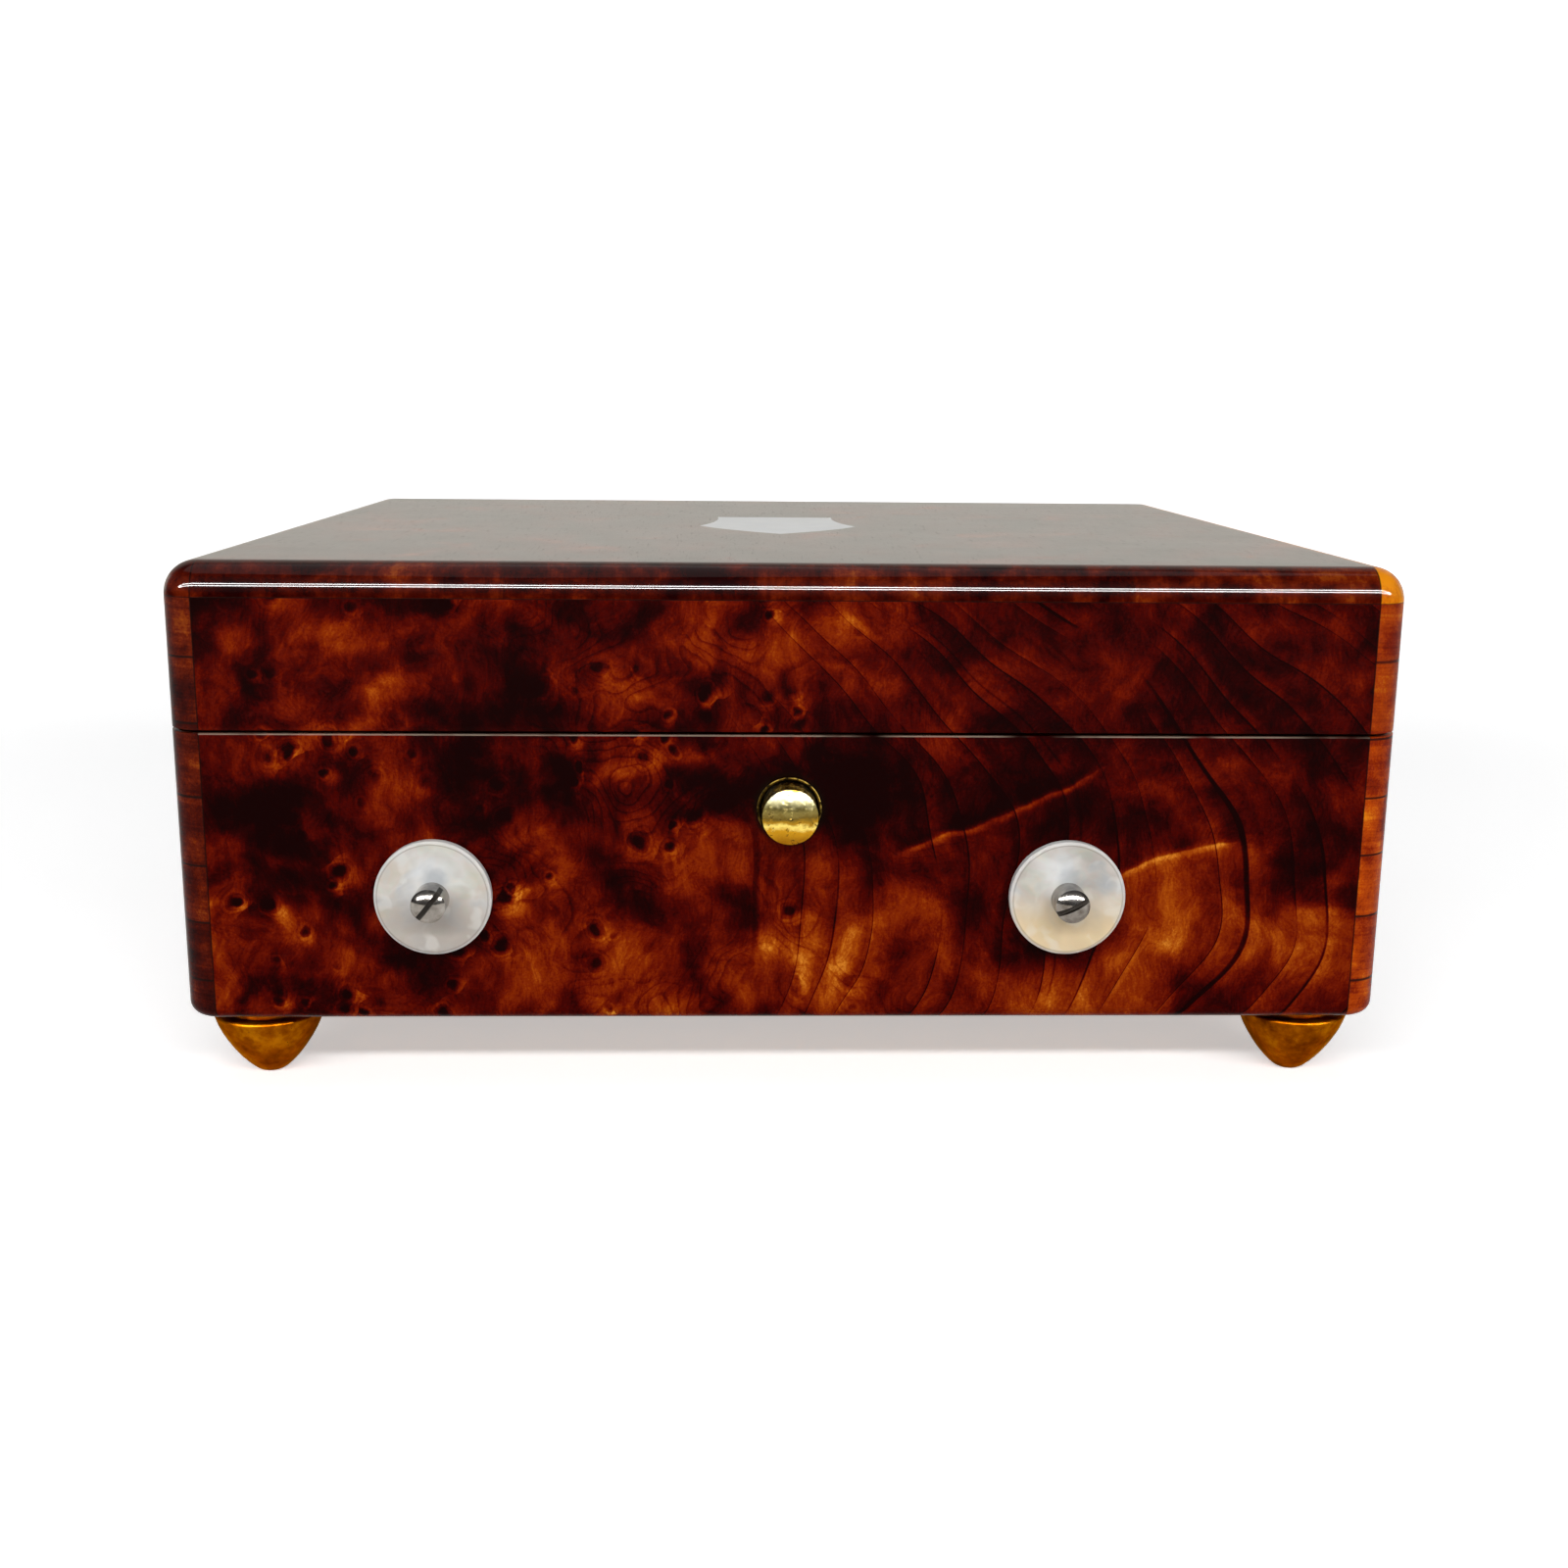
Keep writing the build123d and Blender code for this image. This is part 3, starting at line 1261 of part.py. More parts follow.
CROWN_TOOTH = 0.8
CROWN_FLANK = 15.0
flank = tan(radians(CROWN_FLANK))
tip_half = CROWN_TOOTH / 2 - (crown_tip - pitch_z) * flank
root_half = CROWN_TOOTH / 2 + (pitch_z - crown_root) * flank
crown_inner = CROWN_RADIUS - CROWN_WIDTH / 2
with BuildPart() as crown_tooth:
    with BuildSketch(x_plane(crown_inner, 0, crown_root - DRUM_WALL / 2)):
        with BuildLine():
            Polyline(
                (-root_half, 0),
                (root_half, 0),
                (root_half, DRUM_WALL / 2),
                (tip_half, DRUM_WALL / 2 + crown_tip - crown_root),
                (-tip_half, DRUM_WALL / 2 + crown_tip - crown_root),
                (-root_half, DRUM_WALL / 2),
                close=True,
            )
        make_face()
    extrude(amount=CROWN_WIDTH)
with BuildPart() as crown:
    with BuildSketch(Plane((DRUM_X, drum_y, cover_low))):
        Circle(DRUM_RADIUS)
        Circle(WINDING_RADIUS + RUNNING, mode=Mode.SUBTRACT)
    extrude(amount=CROWN_COVER)
    for tooth in range(CROWN_TEETH):
        turned = crown_tooth.part.rotate(Axis.Z, 360 * tooth / CROWN_TEETH)
        add(turned.moved(Location((DRUM_X, drum_y, 0))))
save(crown.part, "barrel_crown_wheel")

spring_low = drum_low + DRUM_WALL + CLEAR
spring_high = cover_low - CLEAR
spring_inner = WINDING_HUB_RADIUS + CLEAR + SPRING_STRIP
spring_outer = DRUM_RADIUS - DRUM_WALL - CLEAR - SPRING_STRIP
strip_middle = []
inner_edge = []
outer_edge = []
for step in range(SPRING_TURNS * WOUND_STEPS + 1):
    angle = 2 * pi * step / WOUND_STEPS
    radius = spring_inner + (spring_outer - spring_inner) * step / (SPRING_TURNS * WOUND_STEPS)
    strip_middle.append((radius * cos(angle), radius * sin(angle)))
    inner_edge.append(((radius - SPRING_STRIP / 2) * cos(angle), (radius - SPRING_STRIP / 2) * sin(angle)))
    outer_edge.append(((radius + SPRING_STRIP / 2) * cos(angle), (radius + SPRING_STRIP / 2) * sin(angle)))
strip_gap = least_gap(strip_middle, SPRING_STRIP, WOUND_STEPS // 2)
print("mainspring, least gap to itself in mm:", round(strip_gap, 2))
with BuildPart() as mainspring:
    with BuildSketch(Plane((DRUM_X, drum_y, spring_low))):
        with BuildLine():
            Polyline(*inner_edge, *reversed(outer_edge), close=True)
        make_face()
    extrude(amount=spring_high - spring_low)
save(mainspring.part, "mainspring")

# Winding arbor and key

ratchet_step = 2 * pi / RATCHET_TEETH
ratchet_points = []
for tooth in range(RATCHET_TEETH):
    for share, radius in ((0, RATCHET_RADIUS - RATCHET_DEPTH), (0.9, RATCHET_RADIUS)):
        angle = (tooth + share) * ratchet_step
        ratchet_points.append((radius * cos(angle), radius * sin(angle)))

square_top = Z_CASE - 0.5
sleeve_top = Z_CASE - 1.0
square_low = Z_CASE - 6.5
with BuildPart() as winding:
    with BuildSketch(Plane((DRUM_X, drum_y, square_top))):
        Circle(WINDING_RADIUS)
    extrude(amount=crown_root + 0.8 - square_top)
    with BuildSketch(Plane((DRUM_X, drum_y, spring_low))):
        Circle(WINDING_HUB_RADIUS)
    extrude(amount=spring_high - spring_low)
    with BuildSketch(Plane((DRUM_X, drum_y, square_low))):
        Rectangle(WINDING_SQUARE, WINDING_SQUARE)
    extrude(amount=square_top - square_low)
    with BuildSketch(Plane((DRUM_X, drum_y, ratchet_low))):
        with BuildLine():
            Polyline(*ratchet_points, close=True)
        make_face()
    extrude(amount=RATCHET_THICKNESS)
save(winding.part, "winding_arbor")

key_low = Z_CASE - KEY_LOW
with BuildPart() as key:
    with BuildSketch(Plane((DRUM_X, drum_y, key_low))):
        Circle(KEY_SLEEVE_RADIUS)
    extrude(amount=sleeve_top - key_low)
    wing_back = drum_y + KEY_WING_THICKNESS / 2
    with BuildSketch(Plane(origin=(DRUM_X, wing_back, key_low), x_dir=(1, 0, 0), z_dir=(0, -1, 0))):
        with BuildLine():
            half = KEY_WING_SPAN / 2
            Polyline((-half + 1.5, 0), (half - 1.5, 0))
            ThreePointArc((half - 1.5, 0), (half, 3.4), (half - 1.5, 6.8))
            ThreePointArc((half - 1.5, 6.8), (half * 0.5, 5.2), (0, 4.6))
            ThreePointArc((0, 4.6), (-half * 0.5, 5.2), (-half + 1.5, 6.8))
            ThreePointArc((-half + 1.5, 6.8), (-half, 3.4), (-half + 1.5, 0))
        make_face()
    extrude(amount=KEY_WING_THICKNESS)
    with BuildSketch(Plane((DRUM_X, drum_y, square_low - CLEAR))):
        Rectangle(WINDING_SQUARE + 2 * SEAT, WINDING_SQUARE + 2 * SEAT)
    extrude(amount=sleeve_top - square_low + 2 * CLEAR, mode=Mode.SUBTRACT)
save(key.part, "winding_key")

# Cylinder, its arbor and the great wheel

arbor_left = DRIVE_X - CROWN_WIDTH / 2 - 0.4
arbor_right = RIGHT_COCK_X + COCK_THICKNESS + 0.8
with BuildPart() as arbor:
    add(rod(x_plane(arbor_left, drum_y, arbor_z), ARBOR_RADIUS, arbor_right - arbor_left))
    add(
        spur_wheel(
            DRIVE_X - CROWN_WIDTH / 2,
            drum_y,
            arbor_z,
            DRIVE_TEETH,
            CROWN_MODULE,
            CROWN_WIDTH,
            pi / DRIVE_TEETH,
        )
    )
save(arbor.part, "cylinder_arbor")

DRIVE_PIN_RADIUS = 0.8
DRIVE_PIN_OFFSET = 6.0
drive_pin_left = CYLINDER_RIGHT - CYLINDER_CAP - 1
great_wheel = joined(
    [
        spur_wheel(
            GREAT_WHEEL_X,
            drum_y,
            arbor_z,
            GREAT_TEETH,
            TRAIN_MODULE,
            WHEEL_THICKNESS,
            0,
            ARBOR_RADIUS + SEAT,
        ),
        rod(x_plane(GREAT_WHEEL_X - 2, drum_y, arbor_z), 3.2, 2, ARBOR_RADIUS + SEAT),
        rod(
            x_plane(drive_pin_left, drum_y, arbor_z + DRIVE_PIN_OFFSET),
            DRIVE_PIN_RADIUS,
            GREAT_WHEEL_X - drive_pin_left,
        ),
    ]
)
save(great_wheel, "great_wheel")


def pin_places():
    """Along-axis positions and turn angles of the pins, for the two tunes."""
    places = []
    for tooth in range(COMB_TEETH):
        middle = comb_left + (tooth + 0.5) * COMB_PITCH
        for number in range(PINS_FIRST_TUNE):
            angle = 137.5 * tooth + 360 * number / PINS_FIRST_TUNE + 23 * ((tooth * number) % 3)
            places.append((middle, angle))
        for number in range(PINS_SECOND_TUNE):
            angle = 99.0 * tooth + 360 * number / PINS_SECOND_TUNE + 31 * ((tooth + number) % 4)
            places.append((middle - CYLINDER_SHIFT, angle))
    return places


pin_root = CYLINDER_RADIUS - 0.3
pin_length = CYLINDER_RADIUS + PIN_HEIGHT - pin_root
with BuildPart() as cylinder:
    with BuildSketch(x_plane(CYLINDER_LEFT, drum_y, arbor_z)):
        Circle(CYLINDER_RADIUS)
    extrude(amount=CYLINDER_LENGTH)
    with BuildSketch(x_plane(CYLINDER_LEFT + CYLINDER_CAP, drum_y, arbor_z)):
        Circle(CYLINDER_RADIUS - CYLINDER_SHELL)
    extrude(amount=CYLINDER_LENGTH - 2 * CYLINDER_CAP, mode=Mode.SUBTRACT)
    add(rod(x_plane(CYLINDER_LEFT, drum_y, arbor_z), arbor_bore, CYLINDER_LENGTH), mode=Mode.SUBTRACT)
    add(
        rod(
            x_plane(CYLINDER_RIGHT - CYLINDER_CAP, drum_y, arbor_z + DRIVE_PIN_OFFSET),
            DRIVE_PIN_RADIUS + SEAT,
            CYLINDER_CAP,
        ),
        mode=Mode.SUBTRACT,
    )
    pin_spots = []
    for x, angle in pin_places():
        around = Location((x, drum_y, arbor_z)) * Location((0, 0, 0), (angle, 0, 0))
        pin_spots.append(around * Location((0, 0, pin_root + pin_length / 2)))
    with Locations(*pin_spots):
        Box(PIN_SIZE, PIN_SIZE, pin_length)
save(cylinder.part, "pinned_cylinder")

# Comb, its base, leads and screws

tip_y = drum_y - CYLINDER_RADIUS - PIN_HEIGHT - COMB_TIP_CLEARANCE
comb_top = arbor_z + COMB_RISE
comb_low = comb_top - COMB_THICKNESS
comb_right = comb_left + COMB_TEETH * COMB_PITCH
comb_screw_places = []
for number in range(5):
    x = comb_left + COMB_TEETH * COMB_PITCH * (number + 0.5) / 5
    comb_screw_places.append((x, from_front(COMB_FRONT + 3.4)))
with BuildPart() as comb:
    with BuildSketch(Plane((0, 0, comb_low))):
        with Locations(((comb_left + comb_right) / 2, (from_front(COMB_FRONT) + tip_y) / 2)):
            Rectangle(comb_right - comb_left, tip_y - from_front(COMB_FRONT))
        for tooth in range(COMB_TEETH + 1):
            share = tooth / COMB_TEETH
            length = BASS_TOOTH + (TREBLE_TOOTH - BASS_TOOTH) * share
            with Locations((comb_left + tooth * COMB_PITCH, tip_y - length / 2)):
                Rectangle(COMB_SLOT, length, mode=Mode.SUBTRACT)
        with Locations(*comb_screw_places):
            Circle(SCREW_RADIUS + SEAT, mode=Mode.SUBTRACT)
    extrude(amount=COMB_THICKNESS)
save(comb.part, "comb")

leads = []
for tooth in range(LEADED_TEETH):
    middle = comb_left + (tooth + 0.5) * COMB_PITCH
    half = (COMB_PITCH - COMB_SLOT) / 2
    length = LEAD_LENGTH * (1 - 0.5 * tooth / LEADED_TEETH)
    back = tip_y - 1.6
    leads.append(block(middle - half, middle + half, back - length, back, comb_low - LEAD_HEIGHT, comb_low))
save(joined(leads), "comb_leads")

comb_base_cutters = []
for x, y in comb_screw_places:
    comb_base_cutters.append(screw_hole(x, y, comb_low, 4))
    movement_screws.append(cheese_screw(x, y, comb_top, COMB_THICKNESS + 4))
comb_base = block(
    comb_left - COMB_BASE_END,
    comb_right + COMB_BASE_END,
    from_front(COMB_BASE_FRONT),
    from_front(COMB_BASE_BACK),
    bed_top,
    comb_low,
)
save(without(comb_base, comb_base_cutters), "comb_base")
save(joined(movement_screws), "movement_screws")

# Governor: arbor with pinion, worm wheel, worm and fly

pinion_left = GREAT_WHEEL_X - 0.6
with BuildPart() as governor_arbor:
    governor_end = GOVERNOR_COCK_X + GOVERNOR_COCK_THICKNESS + 0.6
    add(
        rod(
            x_plane(pinion_left, governor_y, arbor_z), GOVERNOR_ARBOR_RADIUS, governor_end - pinion_left
        )
    )
    add(
        spur_wheel(
            pinion_left,
            governor_y,
            arbor_z,
            PINION_TEETH,
            TRAIN_MODULE,
            WHEEL_THICKNESS + 1.2,
            pi / PINION_TEETH,
        )
    )
save(governor_arbor.part, "governor_arbor")
save(
    spur_wheel(
        WORM_X - WORM_WHEEL_THICKNESS / 2,
        governor_y,
        arbor_z,
        WORM_WHEEL_TEETH,
        WORM_MODULE,
        WORM_WHEEL_THICKNESS,
        pi / WORM_WHEEL_TEETH,
        GOVERNOR_ARBOR_RADIUS + SEAT,
        0.76,
    ),
    "worm_wheel",
)

THREAD_THICKNESS = 0.74
thread_start = arbor_z - worm_lead * (WORM_TURNS / 2 + 0.25)
thread_flank = tan(radians(20))
fly_low = above_case(ARM_LOW + ARM_THICKNESS) + 0.8
with BuildPart() as worm:
    with BuildSketch(Plane((WORM_X, worm_y, bed_low))):
        Circle(WORM_PIVOT_RADIUS)
    extrude(amount=fly_low + FLY_HEIGHT - bed_low)
    with BuildSketch(Plane((WORM_X, worm_y, bed_top + CLEAR))):
        Circle(WORM_ROOT_RADIUS)
    extrude(amount=above_case(ARM_LOW) - CLEAR - bed_top - CLEAR)
    collar_low = above_case(ARM_LOW) - 1.6 - COLLAR_HEIGHT
    with BuildSketch(Plane((WORM_X, worm_y, collar_low))):
        Circle(COLLAR_RADIUS)
    extrude(amount=COLLAR_HEIGHT)
    with BuildLine(Plane((WORM_X, worm_y, thread_start))):
        thread_path = Helix(worm_lead, worm_lead * WORM_TURNS, WORM_PITCH_RADIUS)
    with BuildSketch(Plane(origin=thread_path @ 0, x_dir=(1, 0, 0), z_dir=thread_path % 0)):
        inner = WORM_ROOT_RADIUS - 0.1 - WORM_PITCH_RADIUS
        outer = WORM_TIP_RADIUS - WORM_PITCH_RADIUS
        with BuildLine():
            Polyline(
                (inner, THREAD_THICKNESS / 2 - inner * thread_flank),
                (outer, THREAD_THICKNESS / 2 - outer * thread_flank),
                (outer, -THREAD_THICKNESS / 2 + outer * thread_flank),
                (inner, -THREAD_THICKNESS / 2 + inner * thread_flank),
                close=True,
            )
        make_face()
    sweep(path=thread_path, is_frenet=True)
save(worm.part, "governor_worm")

with BuildPart() as fly:
    with BuildSketch(Plane((WORM_X, worm_y, fly_low))):
        Circle(FLY_BLADE * 2.5)
        Rectangle(2 * FLY_RADIUS, FLY_BLADE)
        Circle(WORM_PIVOT_RADIUS + SEAT, mode=Mode.SUBTRACT)
    extrude(amount=FLY_HEIGHT)
save(fly.part, "governor_fly")

# Control spindles with their arms, discs and screws

SPINDLE_COLLAR = 3.0
SPINDLE_COLLAR_LENGTH = 2.0
HUB_RADIUS = 2.8


def spindle_with_collar(x, reach):
    """A control spindle and the collar that keeps it in the wall."""
    collar_plane = Plane(
        origin=(x, from_front(WALL + CLEAR), above_case(KNOB_HEIGHT)), z_dir=(0, 1, 0)
    )
    return joined([control_spindle(x, reach), rod(collar_plane, SPINDLE_COLLAR, SPINDLE_COLLAR_LENGTH)])


save(joined([control_bush(PLAY_X), control_bush(CHANGE_X)]), "control_bushes")
save(control_disc(PLAY_X), "play_disc")
save(control_disc(CHANGE_X), "change_disc")
save(control_screw(PLAY_X, PLAY_SLOT_ANGLE), "play_screw")
save(control_screw(CHANGE_X, CHANGE_SLOT_ANGLE), "change_screw")

finger_back = worm_depth + FINGER_THICKNESS / 2
with BuildPart() as play_spindle:
    add(spindle_with_collar(PLAY_X, finger_back))
    finger_plane = Plane(
        origin=(PLAY_X, from_front(finger_back), above_case(KNOB_HEIGHT)), x_dir=(1, 0, 0), z_dir=(0, -1, 0)
    )
    with BuildSketch(finger_plane):
        Circle(HUB_RADIUS)
        with Locations((0, FINGER_LENGTH / 2)):
            Rectangle(2, FINGER_LENGTH)
        with Locations((0, FINGER_LENGTH)):
            Circle(1)
    extrude(amount=FINGER_THICKNESS)
save(play_spindle.part, "play_spindle")

cam_points = []
for step in range(11):
    angle = -18 + (CAM_TURN + 36) * step / 10
    radius = CAM_LOW + CYLINDER_SHIFT * angle / CAM_TURN
    cam_points.append((radius * cos(radians(angle)), radius * sin(radians(angle))))
with BuildPart() as change_spindle:
    add(spindle_with_collar(CHANGE_X, cam_back))
    cam_plane = Plane(
        origin=(CHANGE_X, from_front(cam_back), above_case(KNOB_HEIGHT)), x_dir=(1, 0, 0), z_dir=(0, -1, 0)
    )
    with BuildSketch(cam_plane):
        Circle(HUB_RADIUS)
        with BuildLine():
            Polyline((0, 0), *cam_points, close=True)
        make_face()
    extrude(amount=CAM_THICKNESS)
save(change_spindle.part, "change_spindle")
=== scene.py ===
from math import cos, pi, radians, sin

import bmesh
import bpy
from mathutils import Matrix, Vector, noise


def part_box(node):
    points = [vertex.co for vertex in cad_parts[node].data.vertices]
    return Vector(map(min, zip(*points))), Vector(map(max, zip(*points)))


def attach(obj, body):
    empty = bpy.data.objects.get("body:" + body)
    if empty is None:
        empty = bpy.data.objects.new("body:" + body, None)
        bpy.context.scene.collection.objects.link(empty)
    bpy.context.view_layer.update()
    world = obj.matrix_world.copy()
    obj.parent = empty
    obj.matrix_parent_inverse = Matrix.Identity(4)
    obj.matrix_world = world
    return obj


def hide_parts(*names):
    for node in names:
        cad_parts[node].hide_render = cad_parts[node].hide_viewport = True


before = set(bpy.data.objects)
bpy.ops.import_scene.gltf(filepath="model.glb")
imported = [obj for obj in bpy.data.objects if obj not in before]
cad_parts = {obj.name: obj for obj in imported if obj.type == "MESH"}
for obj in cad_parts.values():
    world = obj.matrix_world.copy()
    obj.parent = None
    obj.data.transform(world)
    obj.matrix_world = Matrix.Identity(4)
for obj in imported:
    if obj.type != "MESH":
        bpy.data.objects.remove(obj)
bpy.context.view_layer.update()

# Music box with a burr-veneered case: its finishes, velvet linings, floor, light and camera


def box_in_mm(node):
    """The low and the high corner of a node, in millimetres."""
    return [[1000 * part for part in corner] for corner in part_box(node)]


def middle(box, axis):
    """The middle of a box along one axis."""
    return (box[0][axis] + box[1][axis]) / 2


# Places on the box in millimetres, with X to the right, Y to the back and Z up
corner_low, corner_high = box_in_mm("body_corner_bandings")
SIDE = corner_high[0]
FRONT = corner_low[1]
BACK = corner_high[1]
RIM = corner_high[2]
TOP = box_in_mm("lid_edge_bandings")[1][2]

# How deep a face counts as veneered, how wide the strips are on the corners and round the lid's top, and
# how far those round the top reach down
VENEER = 1.2
CORNER_BAND = 6.2
EDGE_BAND = 6.5
EDGE_DEPTH = 6.2

# The two discs, and the floor of the slot in their screws
change_disc = box_in_mm("change_disc")
play_disc = box_in_mm("play_disc")
CHANGE_X = middle(change_disc, 0)
PLAY_X = middle(play_disc, 0)
DISC_HEIGHT = middle(play_disc, 2)
DISC_RADIUS = (play_disc[1][2] - play_disc[0][2]) / 2
SLOT_FLOOR = FRONT - 3.9

# The push button and the collar round it
button = box_in_mm("catch_button")
collar = box_in_mm("catch_bush")
BUTTON_HEIGHT = middle(button, 2)
BUTTON_FACE = button[0][1]
COLLAR_RADIUS = (collar[1][0] - collar[0][0]) / 2

# The axis and the radius of the cylinder, without its pins
cylinder_arbor = box_in_mm("cylinder_arbor")
ARBOR_Y = middle(cylinder_arbor, 1)
ARBOR_Z = middle(cylinder_arbor, 2)
CYLINDER_RADIUS = 10.0

# Camera, as the photograph was taken, in metres
CAMERA_PLACE = Vector((-0.01079, -0.40578, 0.12716))
CAMERA_PITCH = radians(12.467)
CAMERA_YAW = radians(1.812)
CAMERA_ROLL = radians(0.537)
CAMERA_LENS = 40.38


def seen_colour(red, green, blue):
    """A colour given as it looks on a screen, turned to the light that it stands for."""
    light = []
    for part in (red, green, blue):
        share = part / 255
        light.append(share / 12.92 if share <= 0.04045 else ((share + 0.055) / 1.055) ** 2.4)
    return (*light, 1.0)


WHITE = (1, 1, 1, 1)
BLACK = (0, 0, 0, 1)


class Shade:
    """A value that a finish works out at each point. Sums with it become nodes."""

    def __init__(self, finish, socket):
        self.finish = finish
        self.socket = socket

    def maths(self, operation, *values):
        return self.finish.node("ShaderNodeMath", {"operation": operation}, dict(enumerate(values)))

    def __add__(self, other):
        return self.maths("ADD", self, other)

    def __radd__(self, other):
        return self.maths("ADD", other, self)

    def __sub__(self, other):
        return self.maths("SUBTRACT", self, other)

    def __rsub__(self, other):
        return self.maths("SUBTRACT", other, self)

    def __mul__(self, other):
        return self.maths("MULTIPLY", self, other)

    def __rmul__(self, other):
        return self.maths("MULTIPLY", other, self)

    def __truediv__(self, other):
        return self.maths("DIVIDE", self, other)

    def size(self):
        return self.maths("ABSOLUTE", self)

    def fraction(self):
        return self.maths("FRACT", self)

    def least(self, other):
        return self.maths("MINIMUM", self, other)

    def most(self, other):
        return self.maths("MAXIMUM", self, other)

    def above(self, limit):
        return self.maths("GREATER_THAN", self, limit)

    def rise(self, low, high):
        """Nought below low, one above high, and smooth between."""
        settings = {"interpolation_type": "SMOOTHSTEP"}
        sockets = {"Value": self, "From Min": low, "From Max": high}
        return self.finish.node("ShaderNodeMapRange", settings, sockets)

    def fall(self, low, high):
        """One below low, nought above high, and smooth between."""
        return 1 - self.rise(low, high)

    def between(self, low, full, full_end, high):
        """One from full to full_end, nought outside low and high, and smooth between."""
        return self.rise(low, full) * self.fall(full_end, high)

    def near(self, place, core, edge):
        """One within core of a place, nought farther off than edge, and smooth between."""
        return (self - place).size().fall(core, edge)


class Finish:
    """A material, or the world, while it is put together. Places are in millimetres."""

    def __init__(self, name, tree=None):
        self.tree = tree
        if tree is None:
            self.material = bpy.data.materials.new(name)
            self.material.use_nodes = True
            self.tree = self.material.node_tree
            self.tree.nodes.clear()
        self.place = self.scaled(self.node("ShaderNodeTexCoord", out="Object"), 1000)
        self.x, self.y, self.z = self.split(self.place)

    def node(self, kind, settings=None, sockets=None, out=0):
        """Any node: its settings first, then its sockets. Returns one of its outputs."""
        made = self.tree.nodes.new(kind)
        for name, value in (settings or {}).items():
            if name == "stops":
                stops = made.color_ramp.elements
                while len(stops) < len(value):
                    stops.new(0.5)
                for stop, (position, colour) in zip(stops, value):
                    stop.position = position
                    stop.color = colour
            else:
                setattr(made, name, value)
        for name, value in (sockets or {}).items():
            if isinstance(value, Shade):
                self.tree.links.new(value.socket, made.inputs[name])
            else:
                made.inputs[name].default_value = value
        return Shade(self, made.outputs[out]) if made.outputs else None

    def split(self, vector):
        made = self.node("ShaderNodeSeparateXYZ", None, {0: vector}).socket.node
        return [Shade(self, output) for output in made.outputs]

    def vector(self, x, y, z):
        return self.node("ShaderNodeCombineXYZ", None, {0: x, 1: y, 2: z})

    def vectors(self, operation, first, second, out=0):
        return self.node("ShaderNodeVectorMath", {"operation": operation}, {0: first, 1: second}, out)

    def scaled(self, vector, factor):
        return self.node("ShaderNodeVectorMath", {"operation": "SCALE"}, {0: vector, "Scale": factor})

    def stretched(self, vector, x, y, z):
        return self.vectors("MULTIPLY", vector, (x, y, z))

    def moved(self, vector, by):
        return self.vectors("ADD", vector, by)

    def distance(self, vector, point):
        return self.vectors("DISTANCE", vector, point, "Value")

    def from_side(self):
        """How far a point lies from the nearer side of the box."""
        return SIDE - self.x.size()

    def from_end(self):
        """How far a point lies from the front or the back, whichever is nearer."""
        return (self.y - FRONT).least(BACK - self.y)

    def clouds(self, vector, size, detail=3.0, roughness=0.55):
        """Soft noise from nought to one, with features of about this size."""
        sockets = {"Vector": vector, "Scale": 1 / size, "Detail": detail, "Roughness": roughness}
        return self.node("ShaderNodeTexNoise", None, sockets)

    def drift(self, vector, size, amount, detail=2.0):
        """A vector pushed about by noise, by up to about this amount."""
        sockets = {"Vector": vector, "Scale": 1 / size, "Detail": detail}
        push = self.moved(self.node("ShaderNodeTexNoise", None, sockets, "Color"), (-0.5, -0.5, -0.5))
        return self.moved(vector, self.scaled(push, amount))

    def cells(self, vector, size, out="Distance"):
        """Scattered points: how far off the nearest one is, as a share of size, or its own colour."""
        settings = {"voronoi_dimensions": "2D", "feature": "F1"}
        sockets = {"Vector": vector, "Scale": 1 / size, "Randomness": 1.0}
        return self.node("ShaderNodeTexVoronoi", settings, sockets, out)

    def ramp(self, value, *stops):
        """Colours along a value. Each stop is a position and a colour as seen, from 0 to 255."""
        seen = [(position, seen_colour(*colour)) for position, colour in stops]
        return self.node("ShaderNodeValToRGB", {"stops": seen}, {"Fac": value})

    def mixed(self, share, first, second):
        """Two colours blended by a share of the second."""
        return self.node("ShaderNodeMix", {"data_type": "RGBA"}, {0: share, 6: first, 7: second}, out=2)

    def bump(self, height, depth):
        """A relief of this depth in millimetres."""
        sockets = {"Height": height, "Distance": depth / 1000, "Strength": 1.0}
        return self.node("ShaderNodeBump", None, sockets)

    def facing(self, blend):
        """Nought where the surface looks at the eye, one where it turns away."""
        return self.node("ShaderNodeLayerWeight", None, {"Blend": blend}, "Facing")

    def light_path(self, ray):
        """One where a ray of this kind arrives, else nought."""
        return self.node("ShaderNodeLightPath", out=f"Is {ray} Ray")

    def surface(self, **sockets):
        """Ends the material with a principled shader."""
        named = {name.replace("_", " "): value for name, value in sockets.items()}
        shader = self.node("ShaderNodeBsdfPrincipled", None, named)
        self.node("ShaderNodeOutputMaterial", None, {0: shader})
        return self.material


# Burr veneer

